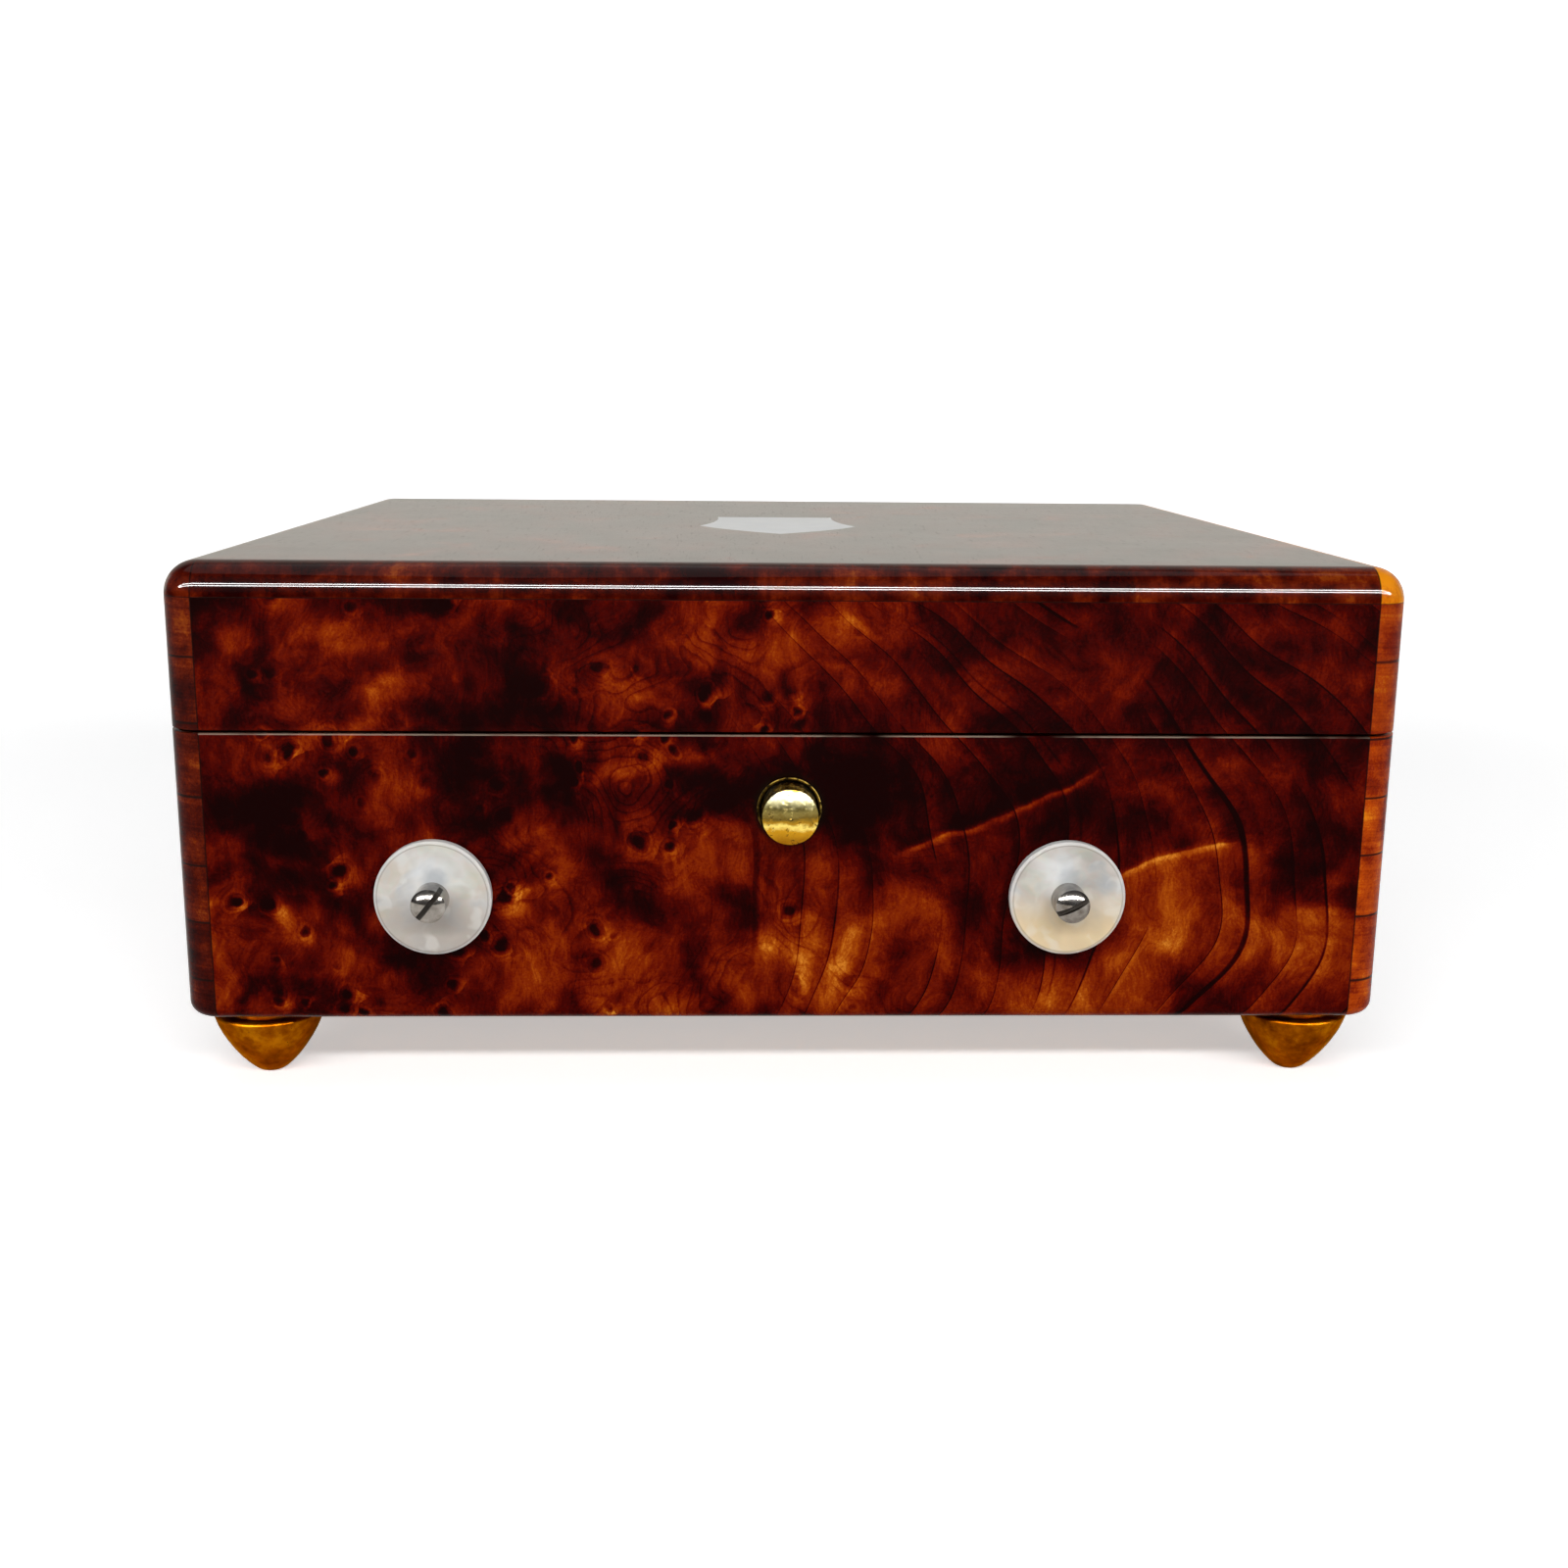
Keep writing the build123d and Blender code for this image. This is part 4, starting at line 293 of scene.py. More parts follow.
# Light and dark passages of the front's figure: middle across and up, half width, half height, strength
FRONT_PASSAGES = [
    (-89, 87, 14, 4, 0.16),
    (-71, 75, 7, 4, 0.24),
    (-85, 68.5, 11, 2.5, 0.30),
    (-28, 77, 8, 7, 0.30),
    (-15, 82, 5, 10, 0.18),
    (6, 82, 13, 11, 0.22),
    (30, 77, 9, 11, 0.10),
    (-103, 30, 5, 11, 0.26),
    (-66, 47, 2.5, 7, 0.26),
    (-44, 41, 7, 6, 0.20),
    (-46, 20, 8, 8, 0.36),
    (-27, 21, 12, 9, 0.28),
    (8, 27, 21, 13, 0.44),
    (-8, 43, 12, 5, 0.18),
    (46, 18, 24, 7, 0.34),
    (74, 30, 15, 17, 0.45),
    (80, 57, 18, 7, 0.30),
    (99, 27, 11, 15, 0.40),
    (60, 62, 34, 5, 0.10),
    (-56, 59, 24, 8, -0.22),
    (4, 58, 26, 9, -0.36),
    (62, 56, 34, 8, -0.20),
    (-91, 52, 12, 8, -0.22),
    (-47, 79, 11, 9, -0.14),
    (32, 29, 7, 13, -0.18),
    (102, 40, 6, 4, -0.22),
    (57, 71, 16, 5, -0.18),
    (76, 18, 4, 9, -0.20),
]

# Bright seams across the right half of the front: start, end, bend, strength
FRONT_SEAMS = [((20, 46), (56, 61), 1.0, 0.36), ((60, 41), (82, 48), -1.2, 0.26)]

# The two sizes of eyes, each with the share of its places that has one
EYES = [(9.4, 0.60), (5.6, 0.34)]


class BurrVeneer(Finish):
    """The burr veneer while it is put together. Each face of the box is a sheet of its own."""

    def __init__(self):
        super().__init__("burr_veneer")
        x, y, z = self.x, self.y, self.z
        self.on_top = z.above(TOP - VENEER)
        self.on_side = x.size().above(SIDE - VENEER) * (1 - self.on_top)
        elsewhere = (1 - self.on_top) * (1 - self.on_side)
        self.on_back = y.above(BACK - VENEER) * elsewhere
        self.on_front = (1 - y.above(FRONT + VENEER)) * elsewhere
        self.veneered = (self.on_top + self.on_side + self.on_back + self.on_front).least(1)
        self.sheet = self.on_side * (40 + 35 * x.above(0)) + self.on_top * 130 + self.on_back * 190
        self.across = x * (1 - self.on_side) + y * self.on_side
        self.up = z * (1 - self.on_top) + y * self.on_top
        self.flat = self.vector(self.across, self.up, self.sheet)
        self.warped = self.drift(self.flat, 22, 16)
        self.curled = self.drift(self.warped, 7, 4.5)
        self.calm = x.rise(-10, 40) * self.on_front
        self.grit = self.clouds(self.flat, 0.45, 2, 0.7)

    def only_front(self, share):
        """A share that holds on the front, and one on the other faces."""
        return share.most(1 - self.on_front)

    def passages(self):
        """The light and dark passages of the front, which lie about where the real ones do."""
        total = 0
        for across, up, half_width, half_height, strength in FRONT_PASSAGES:
            shrunk = self.stretched(self.curled, 1 / half_width, 1 / half_height, 0)
            away = self.distance(shrunk, (across / half_width, up / half_height, 0))
            total = total + strength * away.fall(0.25, 1.5)
        return total * self.on_front

    def broad_figure(self):
        """Broad light and dark, with flames."""
        broad = self.clouds(self.warped, 17, 3, 0.5)
        middling = self.clouds(self.curled, 7.5, 2, 0.45)
        flames = self.clouds(self.stretched(self.drift(self.flat, 9, 5), 1.0, 0.36, 1.0), 3.4)
        tone = 0.33 + (1.50 - 0.65 * self.calm) * (broad - 0.5)
        tone = tone + (0.92 - 0.20 * self.calm) * (middling - 0.5)
        return tone + (0.42 - 0.20 * self.calm) * (flames - 0.5)

    def growth_lines(self):
        """What the thin growth lines take off: long arcs, each with a soft dark band beside it."""
        across, up, _ = self.split(self.drift(self.drift(self.flat, 44, 16, 1), 16, 1.6, 0))
        rings = across + (up - 39) * (up - 39) / 74
        spacing = rings / 8.2 + 3.4 * self.clouds(self.vector(rings, self.sheet, 0), 12, 2)
        step = spacing.fraction()
        fine = (spacing * 2.4).fraction()
        dark = 0.17 * step.between(0.0, 0.9, 0.9, 1.0)
        dark = dark + 0.48 * step.between(0.905, 0.95, 0.955, 0.99)
        dark = dark + 0.04 * fine.between(0.7, 0.92, 0.94, 1.0)
        share = self.clouds(self.flat, 24, 2).rise(0.30, 0.54)
        return dark * share * (0.10 + 0.90 * self.only_front(self.across.rise(-25, 25)))

    def contour_lines(self):
        """What the thin contour lines take off, which curl through the burr."""
        contour = (self.clouds(self.drift(self.warped, 9, 3), 24, 1) * 24).fraction()
        share = self.clouds(self.flat, 21, 1).rise(0.42, 0.60) * (1 - 0.7 * self.calm)
        share = share * self.only_front(0.35 + 0.65 * self.across.rise(-75, -35))
        return 0.15 * contour.between(0.60, 0.93, 0.94, 1.0) * share

    def eyes(self):
        """What the eyes add and take off: each has a dark pupil, fine rings and a lit side."""
        place = self.drift(self.drift(self.moved(self.flat, (3.7, 1.9, 0)), 6, 3.2), 1.6, 0.7)
        place = self.moved(place, self.vector(self.sheet * 7.3, self.sheet * 3.1, 0))
        crowd = self.clouds(self.flat, 19, 1).rise(0.44, 0.58)
        crowd = crowd * (0.10 + 0.90 * self.only_front(self.across.fall(0, 22)))
        total = 0
        for size, share in EYES:
            away = self.cells(place, size) * size
            own = self.split(self.cells(place, size, "Color"))[0]
            lit_away = self.cells(self.moved(place, (-0.17 * size, 0.10 * size, 0)), size) * size
            rings = (away * 1.1).fraction().rise(0.4, 0.9) * away.fall(0.2 * size, 0.5 * size)
            eye = 0.30 * lit_away.fall(0.02 * size, 0.46 * size) - 0.10 * rings
            eye = eye - 0.60 * away.fall(0.02 * size, 0.21 * size)
            total = total + eye * own.above(1 - share) * crowd
        return total

    def seams(self):
        """What the bright seams add, with a glow below each and a shade above it."""
        total = 0
        for start, end, bend, strength in FRONT_SEAMS:
            length = end[0] - start[0]
            slope = (end[1] - start[1]) / length
            beyond_start = self.across - start[0]
            along = beyond_start / length
            height = self.up - (start[1] + slope * beyond_start) - bend * 4 * along * (along - 1)
            height = height + 3.0 * (self.clouds(self.flat, 9, 2) - 0.5)
            core = (height / (0.8 + 1.4 * self.clouds(self.flat, 5, 2))).size().fall(0.0, 1.0)
            light = strength * core * (0.4 + self.clouds(self.flat, 3, 2))
            light = light + 0.16 * height.between(-5.0, 0.0, 0.0, 0.5)
            light = light - 0.12 * height.between(0.0, 0.6, 0.6, 5.0)
            total = total + light * along.between(-0.05, 0.12, 0.85, 1.1)
        return total * self.on_front

    def joints(self):
        """The dark joints to the cross-banding."""
        at_side = self.from_side()
        at_end = self.from_end()
        upright = at_side.near(CORNER_BAND, 0.05, 0.22) * (self.on_front + self.on_back).least(1)
        upright = upright + at_end.near(CORNER_BAND, 0.05, 0.22) * self.on_side
        top = (at_side - EDGE_BAND).size().least((at_end - EDGE_BAND).size()).fall(0.05, 0.22)
        return (upright + top * self.on_top).least(1)

    def painted_rim_highlight(self):
        """The arris at the rim of the body, with a painted highlight along it in places."""
        rim_highlight = self.z.near(RIM - 0.1, 0.06, 0.2) * (1 - self.on_top)
        return rim_highlight * self.clouds(self.flat, 18).rise(0.34, 0.5)

    def collar_dark_ring(self):
        """A dark ring on the wood round the collar of the button."""
        away = self.distance(self.stretched(self.place, 1, 0, 1), (0, 0, BUTTON_HEIGHT))
        return away.fall(COLLAR_RADIUS + 0.05, COLLAR_RADIUS + 1.45) * self.on_front

    def plain_wood(self):
        """The wood that carries the veneer."""
        grain = self.clouds(self.stretched(self.place, 0.05, 0.6, 1.0), 1.6, 4, 0.6)
        return self.ramp(
            grain + 0.12 * (self.grit - 0.5),
            (0.25, (74, 34, 18)),
            (0.5, (112, 58, 32)),
            (0.75, (142, 82, 48)),
        )

    def varnish(self):
        """How strong the varnish shines: most at a flat angle, and less over the top."""
        coat = self.veneered * (0.012 + 0.60 * self.facing(0.5).rise(0.35, 0.95))
        coat = coat * (1 - (0.46 + 0.30 * self.y.rise(-90, 90)) * self.on_top)
        return coat * (1 + 0.5 * (self.clouds(self.flat, 16) - 0.5))


def burr_finish():
    """Burr veneer under varnish, with plain wood inside the veneer."""
    wood = BurrVeneer()
    fibre = wood.clouds(wood.stretched(wood.curled, 1.0, 0.22, 1.0), 0.5, 2, 0.6)
    tone = wood.broad_figure() + wood.passages() - wood.growth_lines() - wood.contour_lines()
    tone = tone + wood.eyes() + wood.seams() + 0.34 * (fibre - 0.5) + 0.30 * (wood.grit - 0.5)
    burr = wood.ramp(
        tone,
        (0.0, (18, 0, 0)),
        (0.18, (38, 0, 0)),
        (0.36, (68, 3, 0)),
        (0.52, (98, 16, 1)),
        (0.68, (126, 38, 2)),
        (0.84, (158, 70, 8)),
        (1.0, (204, 124, 34)),
    )
    burr = wood.mixed(wood.joints() * 0.85, burr, seen_colour(22, 6, 3))
    # A thin painted highlight along the arris at the rim of the body
    burr = wood.mixed(wood.painted_rim_highlight() * 0.4, burr, seen_colour(186, 166, 146))
    # Darkens the wood in a ring round the collar of the button
    burr = wood.mixed(wood.collar_dark_ring() * 0.85, burr, seen_colour(14, 6, 2))
    scratches = wood.clouds(wood.stretched(wood.flat, 1.0, 0.06, 1.0), 0.35, 1).rise(0.66, 0.74)
    roughness = 0.10 + 0.05 * wood.clouds(wood.flat, 12) + 0.10 * scratches
    return wood.surface(
        Base_Color=wood.mixed(wood.veneered, wood.plain_wood(), burr),
        Roughness=roughness + 0.42 * (1 - wood.veneered),
        Specular_IOR_Level=0.012,
        Coat_Weight=wood.varnish(),
        Coat_Roughness=0.04,
        Normal=wood.bump(wood.clouds(wood.flat, 9, 2) + 0.15 * wood.grit, 0.02),
    )


# Cross-banding

# How the upright corner strips and the strips on the lid's edges differ: the length of a piece, how much
# each figure of the wood shows, how much lighter the dark and the bright wood is, and how dark the gaps are
CORNER_STRIPS = {
    "piece": 12.0,
    "grain": 0.5,
    "streaks": 0.45,
    "blotches": 1.3,
    "grit": 0.5,
    "dark_lift": 0.0,
    "bright_lift": 0.02,
    "gaps": 0.9,
}
EDGE_STRIPS = {
    "piece": 23.0,
    "grain": 0.25,
    "streaks": 0.30,
    "blotches": 1.7,
    "grit": 0.3,
    "dark_lift": -0.08,
    "bright_lift": 0.36,
    "gaps": 0.2,
}


def banding_surface(wood, strips, along, beside, on_run, bright_share, lines, red_share=0.0):
    """Ends a cross-banding: short pieces of veneer side by side, with the grain across the strip."""
    right = wood.x.above(0)
    behind = wood.y.above(0)
    uneven = wood.clouds(wood.vector(along, right * 40, behind * 90), 31, 0)
    counted = along / strips["piece"] + 0.55 * uneven
    within = counted.fraction()
    number = counted - within
    own = wood.clouds(wood.vector(number * 7.7, right * 5.1, behind * 3.3 + on_run * 9.1), 1.0, 0)
    grain_place = wood.moved(wood.vector(along, 0, number * 3.7), beside)
    grain = wood.clouds(wood.drift(grain_place, 5.0, 1.6), 0.7, 4, 0.65)
    streaks = wood.clouds(grain_place, 2.4, 3, 0.6)
    grit = wood.clouds(wood.place, 0.4, 2, 0.7)
    blotches = wood.clouds(wood.drift(wood.place, 8, 4), 6.5, 4, 0.6)
    tone = 0.44 + strips["grain"] * (grain - 0.5) + strips["streaks"] * (streaks - 0.5)
    tone = tone + strips["blotches"] * (blotches - 0.5) + 0.5 * (own - 0.5) + strips["grit"] * (grit - 0.5)
    dark = wood.ramp(
        tone + strips["dark_lift"],
        (0.1, (26, 0, 0)),
        (0.4, (62, 7, 0)),
        (0.62, (96, 24, 2)),
        (0.9, (140, 62, 10)),
    )
    bright = wood.ramp(
        tone + strips["bright_lift"],
        (0.05, (78, 10, 0)),
        (0.3, (124, 30, 0)),
        (0.6, (174, 66, 2)),
        (0.95, (222, 134, 16)),
    )
    gaps = (within - 0.5).size().rise(0.474, 0.49)
    colour = wood.mixed(bright_share, dark, bright)
    colour = wood.mixed(gaps * strips["gaps"], colour, seen_colour(24, 8, 4))
    colour = wood.mixed(red_share, colour, seen_colour(92, 14, 0))
    colour = wood.mixed(lines * 0.85, colour, seen_colour(20, 6, 3))
    # The varnish shines most in the bend between the front and the top
    shine = 0.02 + 0.20 * wood.z.rise(TOP - 6.0, TOP - 5.0)
    shine = shine + 0.62 * wood.z.between(TOP - 5.4, TOP - 4.8, TOP - 3.0, TOP - 2.2)
    return wood.surface(
        Base_Color=colour,
        Roughness=0.12 + 0.06 * streaks,
        Specular_IOR_Level=0.03,
        Coat_Weight=shine,
        Coat_Roughness=0.04,
        Normal=wood.bump(0.4 * streaks + 0.2 * grit - 2 * gaps, 0.0012),
    )


def corner_banding_finish():
    """The upright strips on the corners: dark on the left, bright on the right, and redder on the lid."""
    wood = Finish("corner_banding")
    from_side = wood.from_side()
    from_end = wood.from_end()
    return banding_surface(
        wood,
        CORNER_STRIPS,
        along=wood.z,
        beside=wood.vector(wood.x * 0.05, wood.y * 0.05, 0),
        on_run=(from_side - from_end).above(0),
        bright_share=wood.x.above(0),
        lines=from_side.most(from_end).near(CORNER_BAND, 0.05, 0.2),
        red_share=0.32 * wood.z.above(RIM) * wood.x.above(0),
    )


def edge_banding_finish():
    """The strips over the lid's top edges. The front and back ones butt against those at the sides."""
    wood = Finish("edge_banding")
    from_side = wood.from_side()
    on_run = from_side.above(CORNER_BAND)
    butt = from_side.near(CORNER_BAND, 0.04, 0.2) * wood.from_end().fall(EDGE_BAND - 0.1, EDGE_BAND + 0.1)
    return banding_surface(
        wood,
        EDGE_STRIPS,
        along=wood.x * on_run + wood.y * (1 - on_run),
        beside=wood.vector(wood.x * on_run * 0.05, wood.y * 0.05, wood.z * 0.05),
        on_run=on_run,
        bright_share=wood.x.above(0) * (1 - on_run),
        lines=(wood.z.near(TOP - EDGE_DEPTH, 0.05, 0.22) + butt).least(1),
    )


def inner_wood_finish(name, base, low, high):
    """Straight-grained inner wood, cut along X."""
    wood = Finish(name)
    grain_place = wood.drift(wood.stretched(wood.place, 0.06, 1.0, 1.0), 3, 0.6)
    grain = wood.clouds(grain_place, 1.4, 4, 0.62)
    pores = wood.clouds(wood.stretched(wood.place, 0.12, 1.0, 1.0), 0.35, 2, 0.7)
    broad = wood.clouds(wood.stretched(wood.place, 0.3, 1.0, 1.0), 24, 2)
    tone = grain + 0.25 * (broad - 0.5) - 0.35 * pores.rise(0.62, 0.74)
    return wood.surface(
        Base_Color=wood.ramp(tone, (0.22, low), (0.5, base), (0.78, high)),
        Roughness=0.42 + 0.18 * grain,
        Specular_IOR_Level=0.4,
        Normal=wood.bump(tone, 0.05),
    )


# Mother-of-pearl


def nacre_figure(nacre):
    """Soft patches and faint tints. Returns their colour, the broad patches and the waves."""
    drifted = nacre.drift(nacre.place, 9, 9)
    broad = nacre.clouds(drifted, 8, 2, 0.5)
    waves = nacre.clouds(nacre.stretched(drifted, 0.35, 0.35, 1.1), 2.6, 3, 0.6)
    base = nacre.ramp(
        broad + 0.20 * (waves - 0.5),
        (0.30, (154, 147, 138)),
        (0.45, (177, 169, 158)),
        (0.58, (199, 194, 186)),
        (0.70, (188, 177, 160)),
    )
    tints = nacre.ramp(
        nacre.clouds(drifted, 5, 2) + 0.3 * (waves - 0.5),
        (0.32, (172, 186, 202)),
        (0.45, (192, 196, 198)),
        (0.52, (200, 188, 184)),
        (0.62, (186, 196, 184)),
        (0.72, (206, 188, 160)),
    )
    return nacre.mixed(0.35, base, tints), broad, waves


def nacre_surface(nacre, colour, waves):
    """Ends mother-of-pearl with its silky sheen."""
    fine = nacre.clouds(nacre.stretched(nacre.drift(nacre.place, 4, 3), 0.4, 0.4, 1.6), 0.7, 2)
    return nacre.surface(
        Base_Color=nacre.mixed(nacre.facing(0.35) * 0.12, colour, seen_colour(168, 186, 222)),
        Roughness=0.24 + 0.16 * waves,
        Specular_IOR_Level=0.25,
        Coat_Weight=0.12,
        Coat_Roughness=0.08,
        Subsurface_Weight=0.10,
        Subsurface_Radius=(0.9, 0.9, 1.0),
        Subsurface_Scale=0.001,
        Normal=nacre.bump(waves + 0.3 * fine, 0.02),
    )


def shield_finish():
    """The pale shield let into the lid."""
    nacre = Finish("shield_pearl")
    colour, _, waves = nacre_figure(nacre)
    return nacre_surface(nacre, nacre.mixed(0.75, colour, seen_colour(238, 242, 244)), waves)


def pearl_disc_finish(name, middle_x, low_tint, sheen_across, sheen_up):
    """A disc: tinted below, with a painted sheen at its own place, a painted shade behind the screw, and a
    painted shade line and painted highlight on its bevelled rim.
    """
    nacre = Finish(name)
    colour, broad, waves = nacre_figure(nacre)
    flat = nacre.stretched(nacre.place, 1, 0, 1)
    low = nacre.z.fall(DISC_HEIGHT - 6, DISC_HEIGHT + 3) * (0.45 + 0.55 * broad)
    sheen_place = (middle_x + sheen_across, 0, DISC_HEIGHT + sheen_up)
    # Painted sheen: a bright patch above the screw
    sheen = nacre.distance(nacre.drift(flat, 5, 5), sheen_place).fall(0.5, 6.5)
    shade_place = (middle_x + 0.6, 0, DISC_HEIGHT + 3.4)
    shade = nacre.distance(nacre.drift(flat, 3, 2), shade_place).fall(0.8, 3.4)
    patch = nacre.clouds(nacre.drift(flat, 5, 4), 4.2, 1).rise(0.56, 0.68)
    from_axis = nacre.distance(flat, (middle_x, 0, DISC_HEIGHT))
    # Painted shade line and painted highlight on the bevelled rim
    bevel_shade_line = from_axis.near(DISC_RADIUS - 0.6, 0.04, 0.16)
    rim_highlight = from_axis.rise(DISC_RADIUS - 0.5, DISC_RADIUS - 0.3)
    colour = nacre.mixed(low * 0.9, colour, seen_colour(*low_tint))
    colour = nacre.mixed(sheen * (0.4 + 0.5 * waves), colour, seen_colour(224, 227, 228))
    colour = nacre.mixed(shade * 0.55, colour, seen_colour(128, 136, 146))
    colour = nacre.mixed(patch * 0.30, colour, seen_colour(222, 222, 216))
    colour = nacre.mixed(bevel_shade_line * 0.45, colour, seen_colour(112, 106, 98))
    colour = nacre.mixed(rim_highlight * 0.6, colour, seen_colour(226, 224, 220))
    return nacre_surface(nacre, colour, waves)


# Metals


def brass_finish(name, age, polish, edge_tint=WHITE):
    """Brass, from clean to old. Age darkens it in clouds and adds pits."""
    metal = Finish(name)
    cloud = metal.clouds(metal.drift(metal.place, 5, 3), 6, 4, 0.6)
    spots = metal.clouds(metal.place, 1.1, 3, 0.6)
    pits = metal.clouds(metal.drift(metal.place, 1.5, 1.0), 0.55, 2, 0.6).rise(0.66, 0.74)
    hairs = metal.clouds(metal.stretched(metal.place, 1.0, 1.0, 0.12), 0.22, 2)
    clean = metal.ramp(
        cloud + 0.2 * (spots - 0.5),
        (0.3, (196, 148, 66)),
        (0.55, (226, 184, 98)),
        (0.75, (238, 206, 130)),
    )
    worn = metal.ramp(
        cloud + 0.4 * (spots - 0.5),
        (0.28, (84, 34, 0)),
        (0.5, (136, 70, 2)),
        (0.72, (176, 108, 10)),
    )
    colour = metal.mixed(age, clean, worn)
    return metal.surface(
        Base_Color=metal.mixed(pits * (0.25 + 0.6 * age), colour, seen_colour(48, 30, 12)),
        Metallic=1.0,
        Specular_Tint=edge_tint,
        Roughness=polish + 0.14 * cloud + 0.06 * hairs + 0.3 * pits,
        Normal=metal.bump(0.6 * spots + 0.4 * hairs - 1.2 * pits, 0.02),
    )


def button_finish():
    """The worn, pitted brass of the push button, with painted reflections: pale above, dull across the
    middle, golden below, and a painted shade on its flank.
    """
    metal = Finish("button_brass")
    cloud = metal.clouds(metal.drift(metal.place, 3, 2), 2.4, 4, 0.65)
    spots = metal.clouds(metal.place, 0.7, 3, 0.6)
    pits = metal.clouds(metal.drift(metal.place, 1.5, 1.0), 0.7, 2, 0.6).rise(0.60, 0.68)
    # Painted reflections by height: pale bands above, where the dome mirrors the lamps, dull across the
    # middle, golden below
    height = (metal.z - BUTTON_HEIGHT) / 10 + 0.5 + 0.28 * (cloud - 0.5)
    colour = metal.ramp(
        height + 0.05 * (spots - 0.5),
        (0.0, (150, 96, 14)),
        (0.26, (206, 152, 34)),
        (0.34, (252, 226, 120)),
        (0.40, (176, 132, 34)),
        (0.50, (104, 84, 34)),
        (0.66, (142, 128, 72)),
        (0.76, (232, 220, 160)),
        (0.88, (246, 238, 196)),
        (1.0, (140, 104, 34)),
    )
    # Painted shade on the flank, deeper in the collar
    flank_shade = metal.y.rise(BUTTON_FACE + 1.6, BUTTON_FACE + 2.4)
    colour = metal.mixed(pits * 0.7, colour, seen_colour(40, 26, 8))
    colour = metal.mixed(flank_shade * 0.7, colour, seen_colour(92, 60, 14))
    return metal.surface(
        Base_Color=colour,
        Metallic=1.0,
        Roughness=0.16 + 0.14 * spots + 0.3 * pits,
        Normal=metal.bump(0.5 * spots + 0.5 * cloud - 1.0 * pits, 0.03),
    )


def collar_finish():
    """The collar round the button: near black with patina and painted shade in its bore, its rim rubbed
    bright in places, with a painted highlight towards the top.
    """
    metal = Finish("bush_brass")
    from_axis = metal.distance(metal.stretched(metal.place, 1, 0, 1), (0, 0, BUTTON_HEIGHT))
    spots = metal.clouds(metal.place, 1.0, 3, 0.6)
    at_rim = from_axis.rise(COLLAR_RADIUS - 0.19, COLLAR_RADIUS - 0.09)
    in_front = metal.y.fall(FRONT + 0.1, FRONT + 0.3)
    # Painted highlight: the rim is brighter towards the top, where the light falls
    upper = (metal.z - BUTTON_HEIGHT + 0.5 * metal.x).rise(1.0, 4.5)
    rim_wear_and_highlight = at_rim * in_front * spots.rise(0.40, 0.58) * (0.12 + 0.70 * upper)
    # Patina and painted shade: dark brass over the bore and the face
    patina_and_shade = metal.ramp(spots, (0.4, (14, 9, 3)), (0.75, (74, 54, 16)))
    return metal.surface(
        Base_Color=metal.mixed(rim_wear_and_highlight, patina_and_shade, seen_colour(206, 176, 84)),
        Metallic=1.0,
        Roughness=0.34 + 0.2 * spots,
        Normal=metal.bump(spots, 0.02),
    )


def steel_finish(name, tint, shine, along):
    """Polished or brushed steel, with fine lines along one direction."""
    metal = Finish(name)
    lines = metal.clouds(metal.stretched(metal.place, *along), 0.25, 3, 0.6)
    cloud = metal.clouds(metal.place, 5)
    rust = metal.clouds(metal.drift(metal.place, 2, 1.5), 1.6).rise(0.64, 0.78)
    dark = [part * 0.62 for part in tint]
    colour = metal.ramp(lines * 0.5 + cloud * 0.5, (0.3, dark), (0.7, tint))
    return metal.surface(
        Base_Color=metal.mixed(rust * 0.22, colour, seen_colour(96, 74, 58)),
        Metallic=1.0,
        Roughness=shine + 0.14 * lines + 0.2 * rust,
        Normal=metal.bump(lines, 0.012),
    )


def screw_finish(name, middle_x, slot_angle):
    """The dark polished steel of a control screw, with a painted shade in its slot."""
    metal = Finish(name)
    cloud = metal.clouds(metal.place, 2.4)
    lines = metal.clouds(metal.place, 0.3, 2, 0.6)
    turn = radians(slot_angle)
    from_slot = ((metal.z - DISC_HEIGHT) * cos(turn) - (metal.x - middle_x) * sin(turn)).size()
    # Painted shade in the slot
    in_slot = from_slot.fall(0.44, 0.5) * metal.y.fall(SLOT_FLOOR, SLOT_FLOOR + 0.2)
    colour = metal.ramp(cloud, (0.3, (104, 96, 88)), (0.7, (172, 168, 162)))
    return metal.surface(
        Base_Color=metal.mixed(in_slot * 0.92, colour, seen_colour(22, 18, 15)),
        Metallic=1.0,
        Roughness=0.11 + 0.06 * lines + 0.4 * in_slot,
        Normal=metal.bump(lines, 0.004),
    )


def lead_finish():
    """Dull grey lead with a soft bloom."""
    metal = Finish("lead")
    cloud = metal.clouds(metal.place, 2, 4)
    return metal.surface(
        Base_Color=metal.ramp(cloud, (0.3, (74, 76, 80)), (0.7, (122, 124, 128))),
        Metallic=0.7,
        Roughness=0.5 + 0.2 * cloud,
        Normal=metal.bump(cloud, 0.04),
    )


